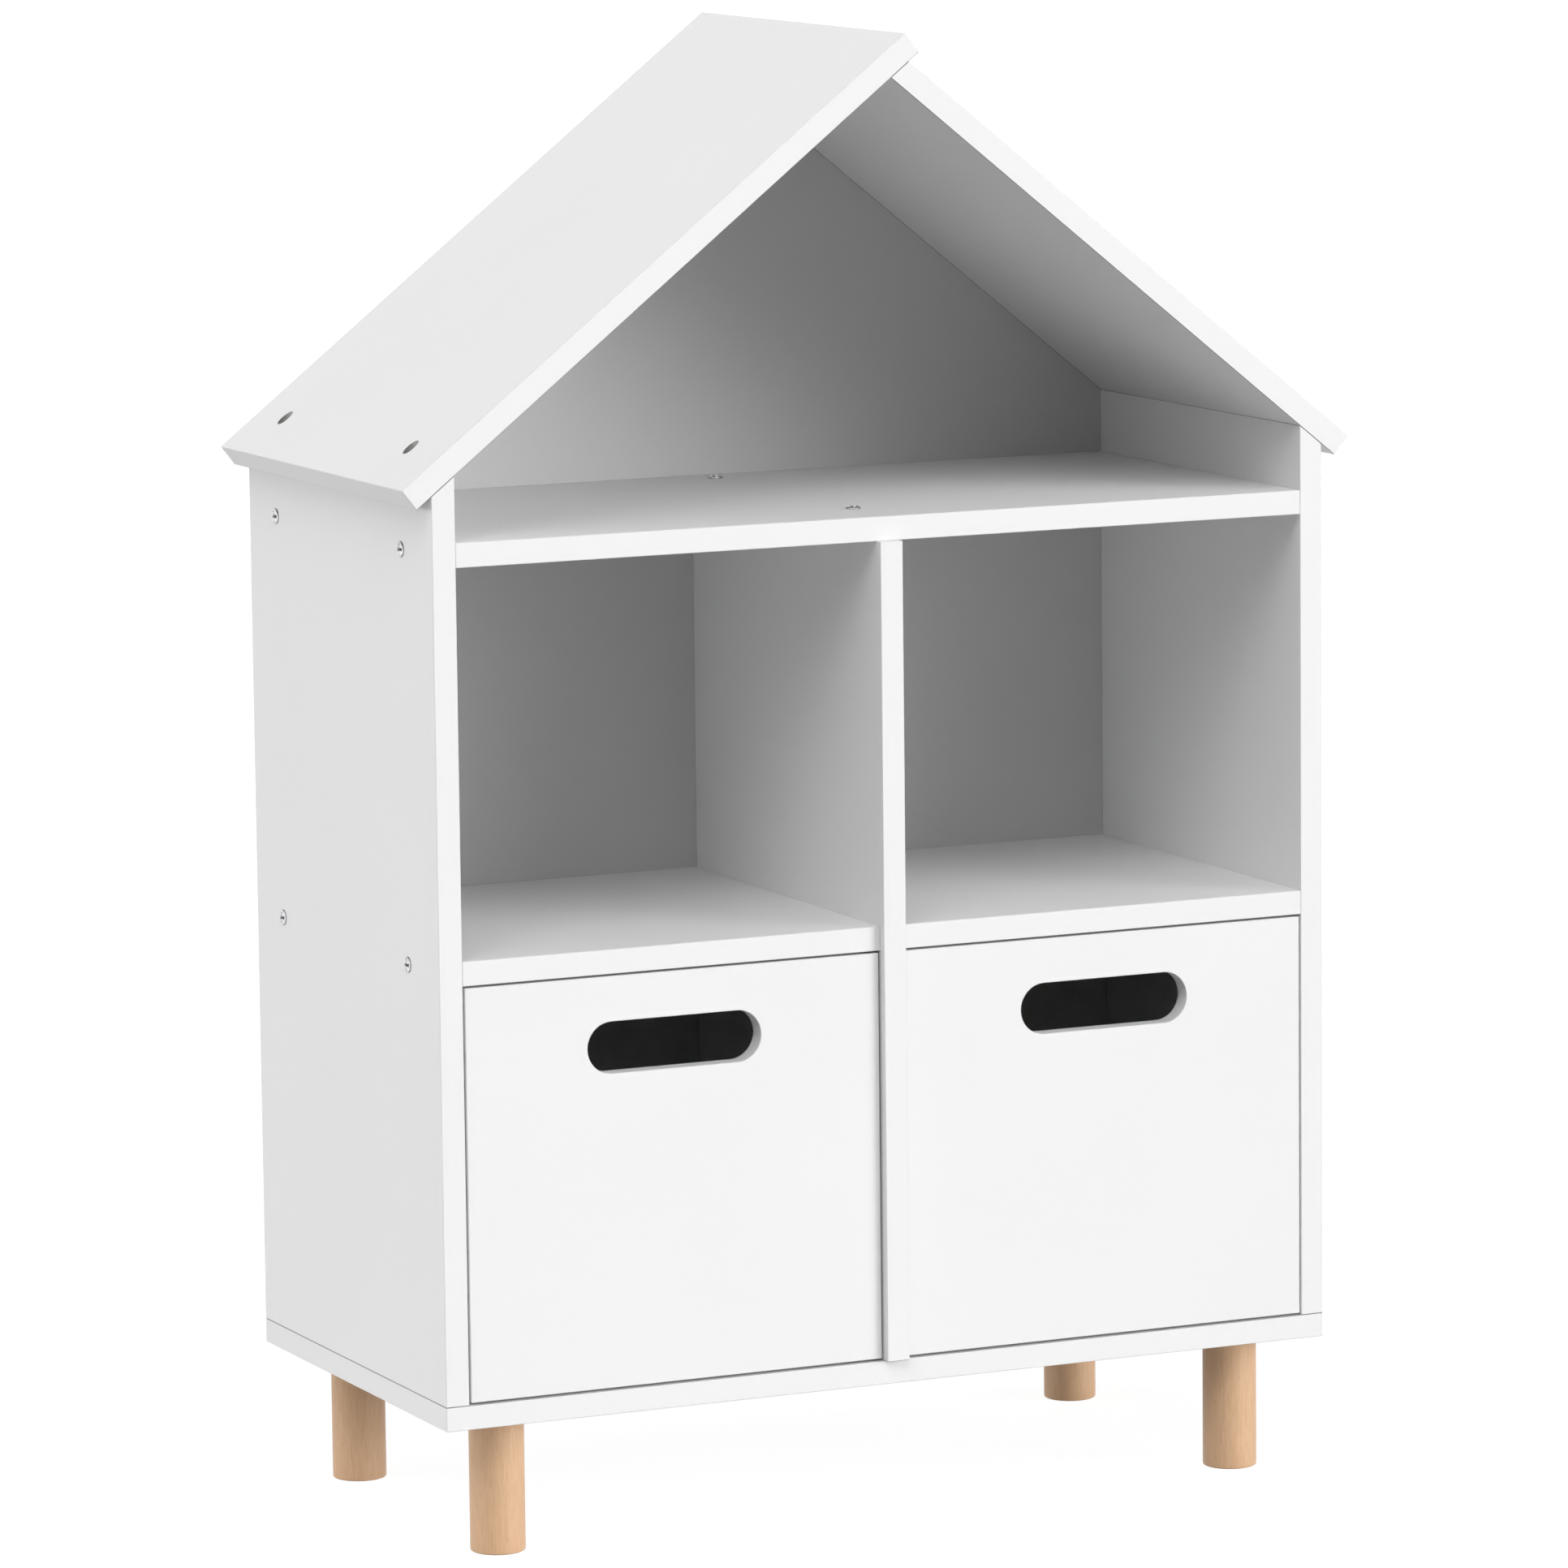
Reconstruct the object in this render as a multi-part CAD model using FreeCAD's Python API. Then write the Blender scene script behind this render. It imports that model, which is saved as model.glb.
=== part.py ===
import FreeCAD, Part
import math
import os
from FreeCAD import Vector

# House shaped bookcase: a gabled carcass of laminated boards on four round legs, with an open
# attic under the roof, two open bays in the middle and two slotted drawers at the bottom.
#
# Frame: millimetres, +X to the right as the front is faced, +Y to the back, +Z up. The origin is
# on the floor, under the middle of the whole outline.

# ---------------------------------------------------------------- driving dimensions
# Carcass
CARCASS_WIDTH = 600.0  # over the outer faces of the side panels
CARCASS_DEPTH = 298.0  # front edge to rear edge of the side panels
BOARD = 15.0  # every carcass board
TOP_SHELF_HEIGHT = 539.0  # base underside to the top shelf's upper face
MIDDLE_SHELF_HEIGHT = 286.5  # base underside to the middle shelves' upper faces
ATTIC_WALL = 28.5  # top shelf's upper face to the outer top edge of a side panel
WALL_HEIGHT = TOP_SHELF_HEIGHT + ATTIC_WALL  # base underside to that edge
DIVIDER_PROUD = 5.5  # the divider's front edge stands this far out of the other front edges
EDGE_EASE = 0.3  # flat taken off every edge of a laminated board

# Roof
ROOF_BOARD = 15.0
ROOF_RISE = 237.9  # outer top edges of the side panels to the line where the undersides meet
RIDGE_HEIGHT = WALL_HEIGHT + ROOF_RISE  # base underside to that line
RIDGE_OFFSET = 5.0  # that line lies this far to the right of the middle
EAVE_OVERHANG = 12.0  # along the slope, past the outer face of a side panel
RIDGE_LAP = 8.6  # the left board runs this far past the right board's upper face

# Back, in grooves
BACK_BOARD = 5.0
BACK_RECESS = 20.0  # rear edges of the side panels to the back's rear face
GROOVE_DEPTH = 5.0
GROOVE_SIDE_CLEARANCE = 0.15  # each face of a panel in its groove
GROOVE_END_CLEARANCE = 0.5  # an edge of a panel to the bottom of its groove

# Legs
LEG_LENGTH = 85.0
LEG_DIAMETER = 34.0
LEG_INSET_X = 47.5  # leg centre in from a side panel's outer face
LEG_INSET_Y = 36.5  # leg centre in from the front and rear edges
LEG_FOOT_EASE = 1.2

# Leg fixings: a hanger bolt in the leg, and an insert in the base
BOLT_DIAMETER = 8.0
BOLT_IN_LEG = 30.0
BOLT_IN_INSERT = 11.0
INSERT_DIAMETER = 12.0
INSERT_LENGTH = 12.0
INSERT_FLANGE_DIAMETER = 17.0
INSERT_FLANGE = 1.5

# Countersunk carcass screws with domed heads, and their rows
SCREW_SHANK = 5.0
SCREW_HEAD = 10.0
SCREW_CROWN = 1.0  # the dome's height over the board's face
SCREW_CROWN_FLAT = 6.0  # diameter at which the dome flattens out
SCREW_LENGTH = 40.0
ROW_INSET = 49.0  # the front row of fasteners, in from the front edges
REAR_ROW_INSET = 44.5  # the rear row, in from the rear edges

# Flat headed roof screws, each at the bottom of a shallow counterbore that just sinks its head
ROOF_SCREW_SHANK = 4.0
ROOF_SCREW_HEAD = 8.4
ROOF_BORE = 9.5  # upright counterbore over each roof screw
ROOF_BORE_DEPTH = 3.4  # from the roof's upper face, on the screw's axis

# Dowels of the carcass
DOWEL_DIAMETER = 8.0
BASE_DOWEL_LENGTH = 30.0
BASE_DOWEL_IN_BASE = 10.0
SHELF_DOWEL_IN_SHELF = 12.0
RIDGE_DOWEL_DIAMETER = 6.0
RIDGE_DOWEL_IN_LEFT = 10.0
RIDGE_DOWEL_IN_RIGHT = 12.0

# Small round pins and their holes
PIN_SIDES = 10  # flats that each is cut with
SHANK_CLEARANCE = 0.15  # radial, round screws, bolts and dowels
HOLE_END_CLEARANCE = 0.5  # past the end of a screw, bolt or dowel
HOLE_OVERRUN = 1.0  # a hole's tool starts this far outside the face

# Drawers
DRAWER_FRONT = 12.0  # thickness
FRONT_GAP = 1.4  # all round a drawer front
DRAWER_BOARD = 12.0  # sides and back of the box
DRAWER_HEADROOM = 28.2  # upper edges of the box sides to the middle shelf
DRAWER_TAIL = 19.7  # the box sides run this far past the box back
DRAWER_SIDE_CLEARANCE = 2.0  # a box side to the panel beside it
DRAWER_GLIDE_GAP = 0.3  # lower edges of the box sides over the base
DRAWER_STOP_GAP = 0.3  # rear ends of the box sides to the carcass back
DRAWER_BOTTOM = 5.0
DRAWER_BOTTOM_RISE = 10.0  # under the bottom, from the lower edges of the box sides

# Finger slot of a drawer front
SLOT_LENGTH = 115.4
SLOT_HEIGHT = 32.0
SLOT_DROP = 27.8  # the front's upper edge to the slot's upper edge

# Fasteners of a drawer
DRAWER_SCREW_SHANK = 3.5
DRAWER_SCREW_HEAD = 7.0
DRAWER_SCREW_LENGTH = 35.0
BOTTOM_SCREW_SHANK = 3.0
BOTTOM_SCREW_HEAD = 6.0
BOTTOM_SCREW_LENGTH = 20.0
BOTTOM_SCREW_COUNT = 3
DRAWER_ROW_INSET = 40.0  # drawer fasteners, in from the ends of the edge they hold
FRONT_DOWEL_DIAMETER = 6.0
FRONT_DOWEL_IN_FRONT = 8.0
FRONT_DOWEL_IN_SIDE = 14.0

# ---------------------------------------------------------------- planes worked out from them
LEFT = -CARCASS_WIDTH / 2
RIGHT = CARCASS_WIDTH / 2
LEFT_INNER = LEFT + BOARD
RIGHT_INNER = RIGHT - BOARD
FRONT = (DIVIDER_PROUD - CARCASS_DEPTH) / 2
REAR = FRONT + CARCASS_DEPTH
BACK_REAR = REAR - BACK_RECESS
BACK_FACE = BACK_REAR - BACK_BOARD
BASE_BOTTOM = LEG_LENGTH
BASE_TOP = BASE_BOTTOM + BOARD
MIDDLE_SHELF_TOP = BASE_BOTTOM + MIDDLE_SHELF_HEIGHT
MIDDLE_SHELF_BOTTOM = MIDDLE_SHELF_TOP - BOARD
TOP_SHELF_TOP = BASE_BOTTOM + TOP_SHELF_HEIGHT
TOP_SHELF_BOTTOM = TOP_SHELF_TOP - BOARD
WALL_TOP = BASE_BOTTOM + WALL_HEIGHT
ROWS = (FRONT + ROW_INSET, REAR - REAR_ROW_INSET)
MIDDLE_ROW = (FRONT + REAR) / 2

# The drawer box, worked out from the bay that it fits
DRAWER_BOX_FRONT = FRONT + DRAWER_FRONT
DRAWER_BOX_REAR = BACK_FACE - DRAWER_STOP_GAP
DRAWER_BOX_BOTTOM = BASE_TOP + DRAWER_GLIDE_GAP
DRAWER_SIDE_HEIGHT = MIDDLE_SHELF_BOTTOM - DRAWER_HEADROOM - DRAWER_BOX_BOTTOM
DRAWER_INSIDE_DEPTH = DRAWER_BOX_REAR - DRAWER_TAIL - DRAWER_BOARD - DRAWER_BOX_FRONT

UP = Vector(0, 0, 1)
DOWN = Vector(0, 0, -1)
TO_RIGHT = Vector(1, 0, 0)
TO_LEFT = Vector(-1, 0, 0)
TO_BACK = Vector(0, 1, 0)


# ---------------------------------------------------------------- plain shapes
def block(x_span, y_span, z_span):
    """A box between two values on each axis."""
    corner = Vector(x_span[0], y_span[0], z_span[0])
    return Part.makeBox(x_span[1] - x_span[0], y_span[1] - y_span[0], z_span[1] - z_span[0], corner)


def flat_face(points):
    """The face inside a closed run of points."""
    return Part.Face(Part.makePolygon(points + points[:1]))


def prism(outline, y_span):
    """An outline of (x, z) points, carried from one depth to another."""
    points = [Vector(x, y_span[0], z) for x, z in outline]
    return flat_face(points).extrude(Vector(0, y_span[1] - y_span[0], 0))


def ring(radius, distance):
    """Corners of a many-sided ring about the Z axis."""
    turns = [2 * math.pi * (index + 0.5) / PIN_SIDES for index in range(PIN_SIDES)]
    return [Vector(radius * math.cos(turn), radius * math.sin(turn), distance) for turn in turns]


def turned(profile, origin, direction):
    """A small turned shape: flats through rings of (radius, distance), along an axis from the origin."""
    rings = [ring(radius, distance) for radius, distance in profile]
    faces = [flat_face(rings[0]), flat_face(rings[-1])]
    for near, far in zip(rings, rings[1:]):
        for side in range(PIN_SIDES):
            after = (side + 1) % PIN_SIDES
            faces.append(flat_face([near[side], near[after], far[after], far[side]]))
    shell = Part.makeShell(faces)
    shell.sewShape()
    solid = Part.makeSolid(shell).removeSplitter()
    solid.Placement = FreeCAD.Placement(origin, FreeCAD.Rotation(UP, direction))
    return solid


def eased(board):
    """A board with a small flat along all its edges."""
    return board.makeChamfer(EDGE_EASE, board.Edges)


def group(fasteners):
    """The separate solids of like fasteners, as one shape."""
    return Part.makeCompound([fastener.body() for fastener in fasteners])


def drilled(board, fasteners):
    """A board with the holes of the fasteners that go into it."""
    return board.cut([fastener.hole() for fastener in fasteners])


# ---------------------------------------------------------------- fasteners
class Screw:
    """A countersunk wood screw, placed by the middle of its head's flat face."""

    def __init__(self, point, direction, length, shank, head):
        self.point = point
        self.direction = direction
        self.length = length
        self.shank = shank / 2
        self.head = head / 2

    def body(self):
        """The screw itself: a flat head, its cone at 45 degrees, and the shank."""
        profile = [(self.head, 0), (self.shank, self.head - self.shank), (self.shank, self.length)]
        return turned(profile, self.point, self.direction)

    def hole(self):
        """Its hole with clearance, opened past the head's face."""
        head = self.head + SHANK_CLEARANCE
        shank = self.shank + SHANK_CLEARANCE
        end = self.length + HOLE_END_CLEARANCE
        profile = [(head, -HOLE_OVERRUN), (head, 0), (shank, head - shank), (shank, end)]
        return turned(profile, self.point, self.direction)


class CarcassScrew(Screw):
    """The screw of the boards, whose head ends in a low dome over the board's face."""

    def __init__(self, point, direction):
        super().__init__(point, direction, SCREW_LENGTH, SCREW_SHANK, SCREW_HEAD)

    def body(self):
        """The screw with its dome, which narrows to a flat."""
        profile = [(SCREW_CROWN_FLAT / 2, -SCREW_CROWN), (self.head, 0), (self.shank, self.head - self.shank),
                   (self.shank, self.length)]
        return turned(profile, self.point, self.direction)


class RoofScrew(Screw):
    """A screw at the bottom of an upright counterbore in a sloping board."""

    def __init__(self, point):
        super().__init__(point, DOWN, SCREW_LENGTH, ROOF_SCREW_SHANK, ROOF_SCREW_HEAD)

    def hole(self):
        """The screw's own hole, and the counterbore up through the board's upper face."""
        height = ROOF_BORE_DEPTH + ROOF_BORE
        bore = Part.makeCylinder(ROOF_BORE / 2, height, self.point, -self.direction)
        return bore.fuse(super().hole())


class Dowel:
    """A plain round peg from a start point, with a length on each side of the joint."""

    def __init__(self, joint, direction, before, after, diameter):
        self.start = joint - direction * before
        self.direction = direction
        self.length = before + after
        self.radius = diameter / 2

    def body(self):
        """The peg."""
        return turned([(self.radius, 0), (self.radius, self.length)], self.start, self.direction)

    def hole(self):
        """Its hole, with clearance round it and past both ends."""
        radius = self.radius + SHANK_CLEARANCE
        profile = [(radius, -HOLE_END_CLEARANCE), (radius, self.length + HOLE_END_CLEARANCE)]
        return turned(profile, self.start, self.direction)


class LegInsert:
    """A flanged sleeve let into the base from below, which the leg's bolt screws into."""

    def __init__(self, point):
        self.point = point

    def outline(self, clearance, end):
        """The flange and sleeve, without the bolt's hole."""
        flange = INSERT_FLANGE_DIAMETER / 2 + clearance
        sleeve = INSERT_DIAMETER / 2 + clearance
        profile = [(flange, 0), (flange, INSERT_FLANGE), (sleeve, INSERT_FLANGE), (sleeve, INSERT_LENGTH + end)]
        return turned(profile, self.point, UP)

    def body(self):
        """The sleeve with its bolt hole right through."""
        bore = BOLT_DIAMETER / 2 + SHANK_CLEARANCE
        return self.outline(0, 0).cut(turned([(bore, 0), (bore, INSERT_LENGTH)], self.point, UP))

    def hole(self):
        """Its stepped hole in the base."""
        return self.outline(SHANK_CLEARANCE, HOLE_END_CLEARANCE)


# ---------------------------------------------------------------- roof geometry, in (x, z)
def step(point, direction, distance):
    """The point at a distance from another."""
    return (point[0] + direction[0] * distance, point[1] + direction[1] * distance)


def unit(start, end):
    """Unit direction from one point to another."""
    length = math.hypot(end[0] - start[0], end[1] - start[1])
    return ((end[0] - start[0]) / length, (end[1] - start[1]) / length)


class Slope:
    """One roof underside, from the outer top edge of its side panel up to the ridge line."""

    def __init__(self, wall_x, ridge):
        self.wall = (wall_x, WALL_TOP)
        self.ridge = ridge
        self.along = unit(self.wall, ridge)
        inward = math.copysign(1, ridge[0] - wall_x)
        self.normal = (-self.along[1] * inward, self.along[0] * inward)
        self.pitch = math.acos(abs(self.along[0]))

    def height(self, x, out=0.0):
        """Height at x of the plane that lies a distance out from the underside."""
        rise = (x - self.wall[0]) * self.along[1] / self.along[0]
        return self.wall[1] + rise + out / self.normal[1]


RIDGE = (RIDGE_OFFSET, BASE_BOTTOM + RIDGE_HEIGHT)
LEFT_SLOPE = Slope(LEFT, RIDGE)
RIGHT_SLOPE = Slope(RIGHT, RIDGE)
# Length of the right board's bevelled end, which lies on the left board's underside.
BEVEL_LENGTH = ROOF_BOARD / math.sin(LEFT_SLOPE.pitch + RIGHT_SLOPE.pitch)


def apex(out):
    """Where the two planes that lie a distance out from the undersides cross."""
    left_rate = LEFT_SLOPE.along[1] / LEFT_SLOPE.along[0]
    right_rate = RIGHT_SLOPE.along[1] / RIGHT_SLOPE.along[0]
    x = (RIGHT_SLOPE.height(0, out) - LEFT_SLOPE.height(0, out)) / (left_rate - right_rate)
    return (x, LEFT_SLOPE.height(x, out))


def gable(reach, bottom):
    """Outline of the attic's rear wall, grown outwards by a reach on its sides and top."""
    left = LEFT_INNER - reach
    right = RIGHT_INNER + reach
    return [(left, bottom), (right, bottom), (right, RIGHT_SLOPE.height(right, reach)),
            apex(reach), (left, LEFT_SLOPE.height(left, reach))]


# ---------------------------------------------------------------- where the fasteners go
def side_screws(outer_x, direction):
    """Two screws through a side panel into each shelf level."""
    levels = (MIDDLE_SHELF_TOP - BOARD / 2, TOP_SHELF_TOP - BOARD / 2)
    return [CarcassScrew(Vector(outer_x, y, z), direction) for z in levels for y in ROWS]


def roof_screws(slope, wall_middle):
    """Two upright screws through a roof board into the top of its side panel."""
    head = slope.height(wall_middle, ROOF_BOARD) - ROOF_BORE_DEPTH
    return [RoofScrew(Vector(wall_middle, y, head)) for y in ROWS]


UPRIGHTS = (LEFT + BOARD / 2, 0.0, RIGHT - BOARD / 2)
LEFT_SIDE_SCREWS = side_screws(LEFT, TO_RIGHT)
RIGHT_SIDE_SCREWS = side_screws(RIGHT, TO_LEFT)
TOP_SHELF_SCREWS = [CarcassScrew(Vector(0, y, TOP_SHELF_TOP), DOWN) for y in ROWS]
BASE_SCREWS = [CarcassScrew(Vector(x, y, BASE_BOTTOM), UP) for x in UPRIGHTS for y in ROWS]
BASE_DOWELS = [Dowel(Vector(x, MIDDLE_ROW, BASE_TOP), UP, BASE_DOWEL_IN_BASE,
                     BASE_DOWEL_LENGTH - BASE_DOWEL_IN_BASE, DOWEL_DIAMETER) for x in UPRIGHTS]
SHELF_DOWELS = [Dowel(Vector(0, y, MIDDLE_SHELF_TOP - BOARD / 2), TO_RIGHT, BOARD / 2 + SHELF_DOWEL_IN_SHELF,
                      BOARD / 2 + SHELF_DOWEL_IN_SHELF, DOWEL_DIAMETER) for y in ROWS]
LEFT_ROOF_SCREWS = roof_screws(LEFT_SLOPE, UPRIGHTS[0])
RIGHT_ROOF_SCREWS = roof_screws(RIGHT_SLOPE, UPRIGHTS[2])


def ridge_dowels():
    """Pegs square to the left board's underside, in the middle of the right board's bevelled end."""
    joint_x, joint_z = step(RIDGE, LEFT_SLOPE.along, BEVEL_LENGTH / 2)
    inward = Vector(-LEFT_SLOPE.normal[0], 0, -LEFT_SLOPE.normal[1])
    return [Dowel(Vector(joint_x, y, joint_z), inward, RIDGE_DOWEL_IN_LEFT, RIDGE_DOWEL_IN_RIGHT,
                  RIDGE_DOWEL_DIAMETER) for y in (ROWS[0], MIDDLE_ROW, ROWS[1])]


RIDGE_DOWELS = ridge_dowels()
LEG_PLACES = {
    "front_left_leg": (LEFT + LEG_INSET_X, FRONT + LEG_INSET_Y),
    "front_right_leg": (RIGHT - LEG_INSET_X, FRONT + LEG_INSET_Y),
    "rear_left_leg": (LEFT + LEG_INSET_X, REAR - LEG_INSET_Y),
    "rear_right_leg": (RIGHT - LEG_INSET_X, REAR - LEG_INSET_Y),
}
LEG_TOPS = [Vector(x, y, BASE_BOTTOM) for x, y in LEG_PLACES.values()]
LEG_INSERTS = [LegInsert(top) for top in LEG_TOPS]
LEG_BOLTS = [Dowel(top, UP, BOLT_IN_LEG, BOLT_IN_INSERT, BOLT_DIAMETER) for top in LEG_TOPS]


# ---------------------------------------------------------------- carcass
def back_groove(outline):
    """The space of a groove for the back, with clearance on the back's two faces."""
    return prism(outline, (BACK_FACE - GROOVE_SIDE_CLEARANCE, BACK_REAR + GROOVE_SIDE_CLEARANCE))


def lower_back_outline(reach):
    """Outline of the lower back, grown outwards by a reach on its sides and top."""
    left = LEFT_INNER - reach
    right = RIGHT_INNER + reach
    top = TOP_SHELF_BOTTOM + reach
    bottom = BASE_TOP - GROOVE_DEPTH
    return [(left, bottom), (right, bottom), (right, top), (left, top)]


def attic_back_outline(reach):
    """Outline of the attic's back, which stands on the bottom of the top shelf's groove."""
    return gable(reach, TOP_SHELF_TOP - GROOVE_DEPTH)


def base_board():
    """The bottom board, over the full width, with the uprights standing on it."""
    board = eased(block((LEFT, RIGHT), (FRONT, REAR), (BASE_BOTTOM, BASE_TOP)))
    board = board.cut(back_groove(lower_back_outline(GROOVE_DEPTH)))
    return drilled(board, BASE_SCREWS + BASE_DOWELS + LEG_INSERTS)


def side_panel(outer, inner, slope, fasteners):
    """A side panel: its top end is cut to the roof's pitch, and its groove runs right through."""
    outline = [(outer, BASE_TOP), (inner, BASE_TOP), (inner, slope.height(inner)), (outer, slope.height(outer))]
    board = eased(prism(outline, (FRONT, REAR)))
    groove_bottom = inner + math.copysign(GROOVE_DEPTH, outer - inner)
    groove_top = max(slope.height(inner), slope.height(outer))
    groove = back_groove([(groove_bottom, BASE_TOP), (inner, BASE_TOP), (inner, groove_top),
                          (groove_bottom, groove_top)])
    return drilled(board.cut(groove), fasteners)


def centre_divider():
    """The upright between the bays and the drawers, with its front edge standing proud."""
    board = eased(block((-BOARD / 2, BOARD / 2), (FRONT - DIVIDER_PROUD, BACK_FACE), (BASE_TOP, TOP_SHELF_BOTTOM)))
    return drilled(board, BASE_SCREWS + BASE_DOWELS + TOP_SHELF_SCREWS + SHELF_DOWELS)


def top_shelf():
    """The floor of the attic, through to the rear edges, grooved above and below for the backs."""
    board = eased(block((LEFT_INNER, RIGHT_INNER), (FRONT, REAR), (TOP_SHELF_BOTTOM, TOP_SHELF_TOP)))
    board = board.cut([back_groove(lower_back_outline(GROOVE_DEPTH)), back_groove(attic_back_outline(GROOVE_DEPTH))])
    return drilled(board, LEFT_SIDE_SCREWS + RIGHT_SIDE_SCREWS + TOP_SHELF_SCREWS)


def middle_shelf(x_span, fasteners):
    """One middle shelf, between a side panel and the divider, back to the lower back."""
    board = eased(block(x_span, (FRONT, BACK_FACE), (MIDDLE_SHELF_BOTTOM, MIDDLE_SHELF_TOP)))
    return drilled(board, fasteners + SHELF_DOWELS)


def left_roof_panel():
    """The longer roof board, square at both ends, which laps over the top of the other."""
    slope = LEFT_SLOPE
    eave = step(slope.wall, slope.along, -EAVE_OVERHANG)
    top = step(slope.ridge, slope.along, BEVEL_LENGTH + RIDGE_LAP)
    outline = [eave, top, step(top, slope.normal, ROOF_BOARD), step(eave, slope.normal, ROOF_BOARD)]
    board = eased(prism(outline, (FRONT, REAR)))
    board = board.cut(back_groove(attic_back_outline(GROOVE_DEPTH)))
    return drilled(board, LEFT_ROOF_SCREWS + RIDGE_DOWELS)


def right_roof_panel():
    """The shorter roof board, its top end bevelled to lie on the other board's underside."""
    slope = RIGHT_SLOPE
    eave = step(slope.wall, slope.along, -EAVE_OVERHANG)
    bevel_top = step(slope.ridge, LEFT_SLOPE.along, BEVEL_LENGTH)
    outline = [slope.ridge, eave, step(eave, slope.normal, ROOF_BOARD), bevel_top]
    board = eased(prism(outline, (FRONT, REAR)))
    board = board.cut(back_groove(attic_back_outline(GROOVE_DEPTH)))
    return drilled(board, RIGHT_ROOF_SCREWS + RIDGE_DOWELS)


def leg(place):
    """A plain round leg with an eased foot, bored in its top for the bolt."""
    x, y = place
    post = Part.makeCylinder(LEG_DIAMETER / 2, LEG_LENGTH, Vector(x, y, 0), UP)
    foot = [edge for edge in post.Edges if edge.BoundBox.ZMax < LEG_LENGTH / 2]
    return drilled(post.makeChamfer(LEG_FOOT_EASE, foot), LEG_BOLTS)


def carcass_nodes():
    """Every piece of the fixed carcass, by name."""
    reach = GROOVE_DEPTH - GROOVE_END_CLEARANCE
    back_span = (BACK_FACE, BACK_REAR)
    left_fasteners = LEFT_SIDE_SCREWS + BASE_SCREWS + BASE_DOWELS + LEFT_ROOF_SCREWS
    right_fasteners = RIGHT_SIDE_SCREWS + BASE_SCREWS + BASE_DOWELS + RIGHT_ROOF_SCREWS
    nodes = {
        "base_board": base_board(),
        "left_side_panel": side_panel(LEFT, LEFT_INNER, LEFT_SLOPE, left_fasteners),
        "right_side_panel": side_panel(RIGHT, RIGHT_INNER, RIGHT_SLOPE, right_fasteners),
        "centre_divider": centre_divider(),
        "top_shelf": top_shelf(),
        "left_middle_shelf": middle_shelf((LEFT_INNER, -BOARD / 2), LEFT_SIDE_SCREWS),
        "right_middle_shelf": middle_shelf((BOARD / 2, RIGHT_INNER), RIGHT_SIDE_SCREWS),
        "lower_back_panel": prism(lower_back_outline(reach), back_span),
        "attic_back_panel": prism(attic_back_outline(reach), back_span),
        "left_roof_panel": left_roof_panel(),
        "right_roof_panel": right_roof_panel(),
        "leg_hanger_bolts": group(LEG_BOLTS),
        "leg_threaded_inserts": group(LEG_INSERTS),
        "left_side_screws": group(LEFT_SIDE_SCREWS),
        "right_side_screws": group(RIGHT_SIDE_SCREWS),
        "top_shelf_screws": group(TOP_SHELF_SCREWS),
        "base_screws": group(BASE_SCREWS),
        "left_roof_screws": group(LEFT_ROOF_SCREWS),
        "right_roof_screws": group(RIGHT_ROOF_SCREWS),
        "base_dowels": group(BASE_DOWELS),
        "middle_shelf_dowels": group(SHELF_DOWELS),
        "ridge_dowels": group(RIDGE_DOWELS),
    }
    for name, place in LEG_PLACES.items():
        nodes[name] = leg(place)
    return nodes


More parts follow.
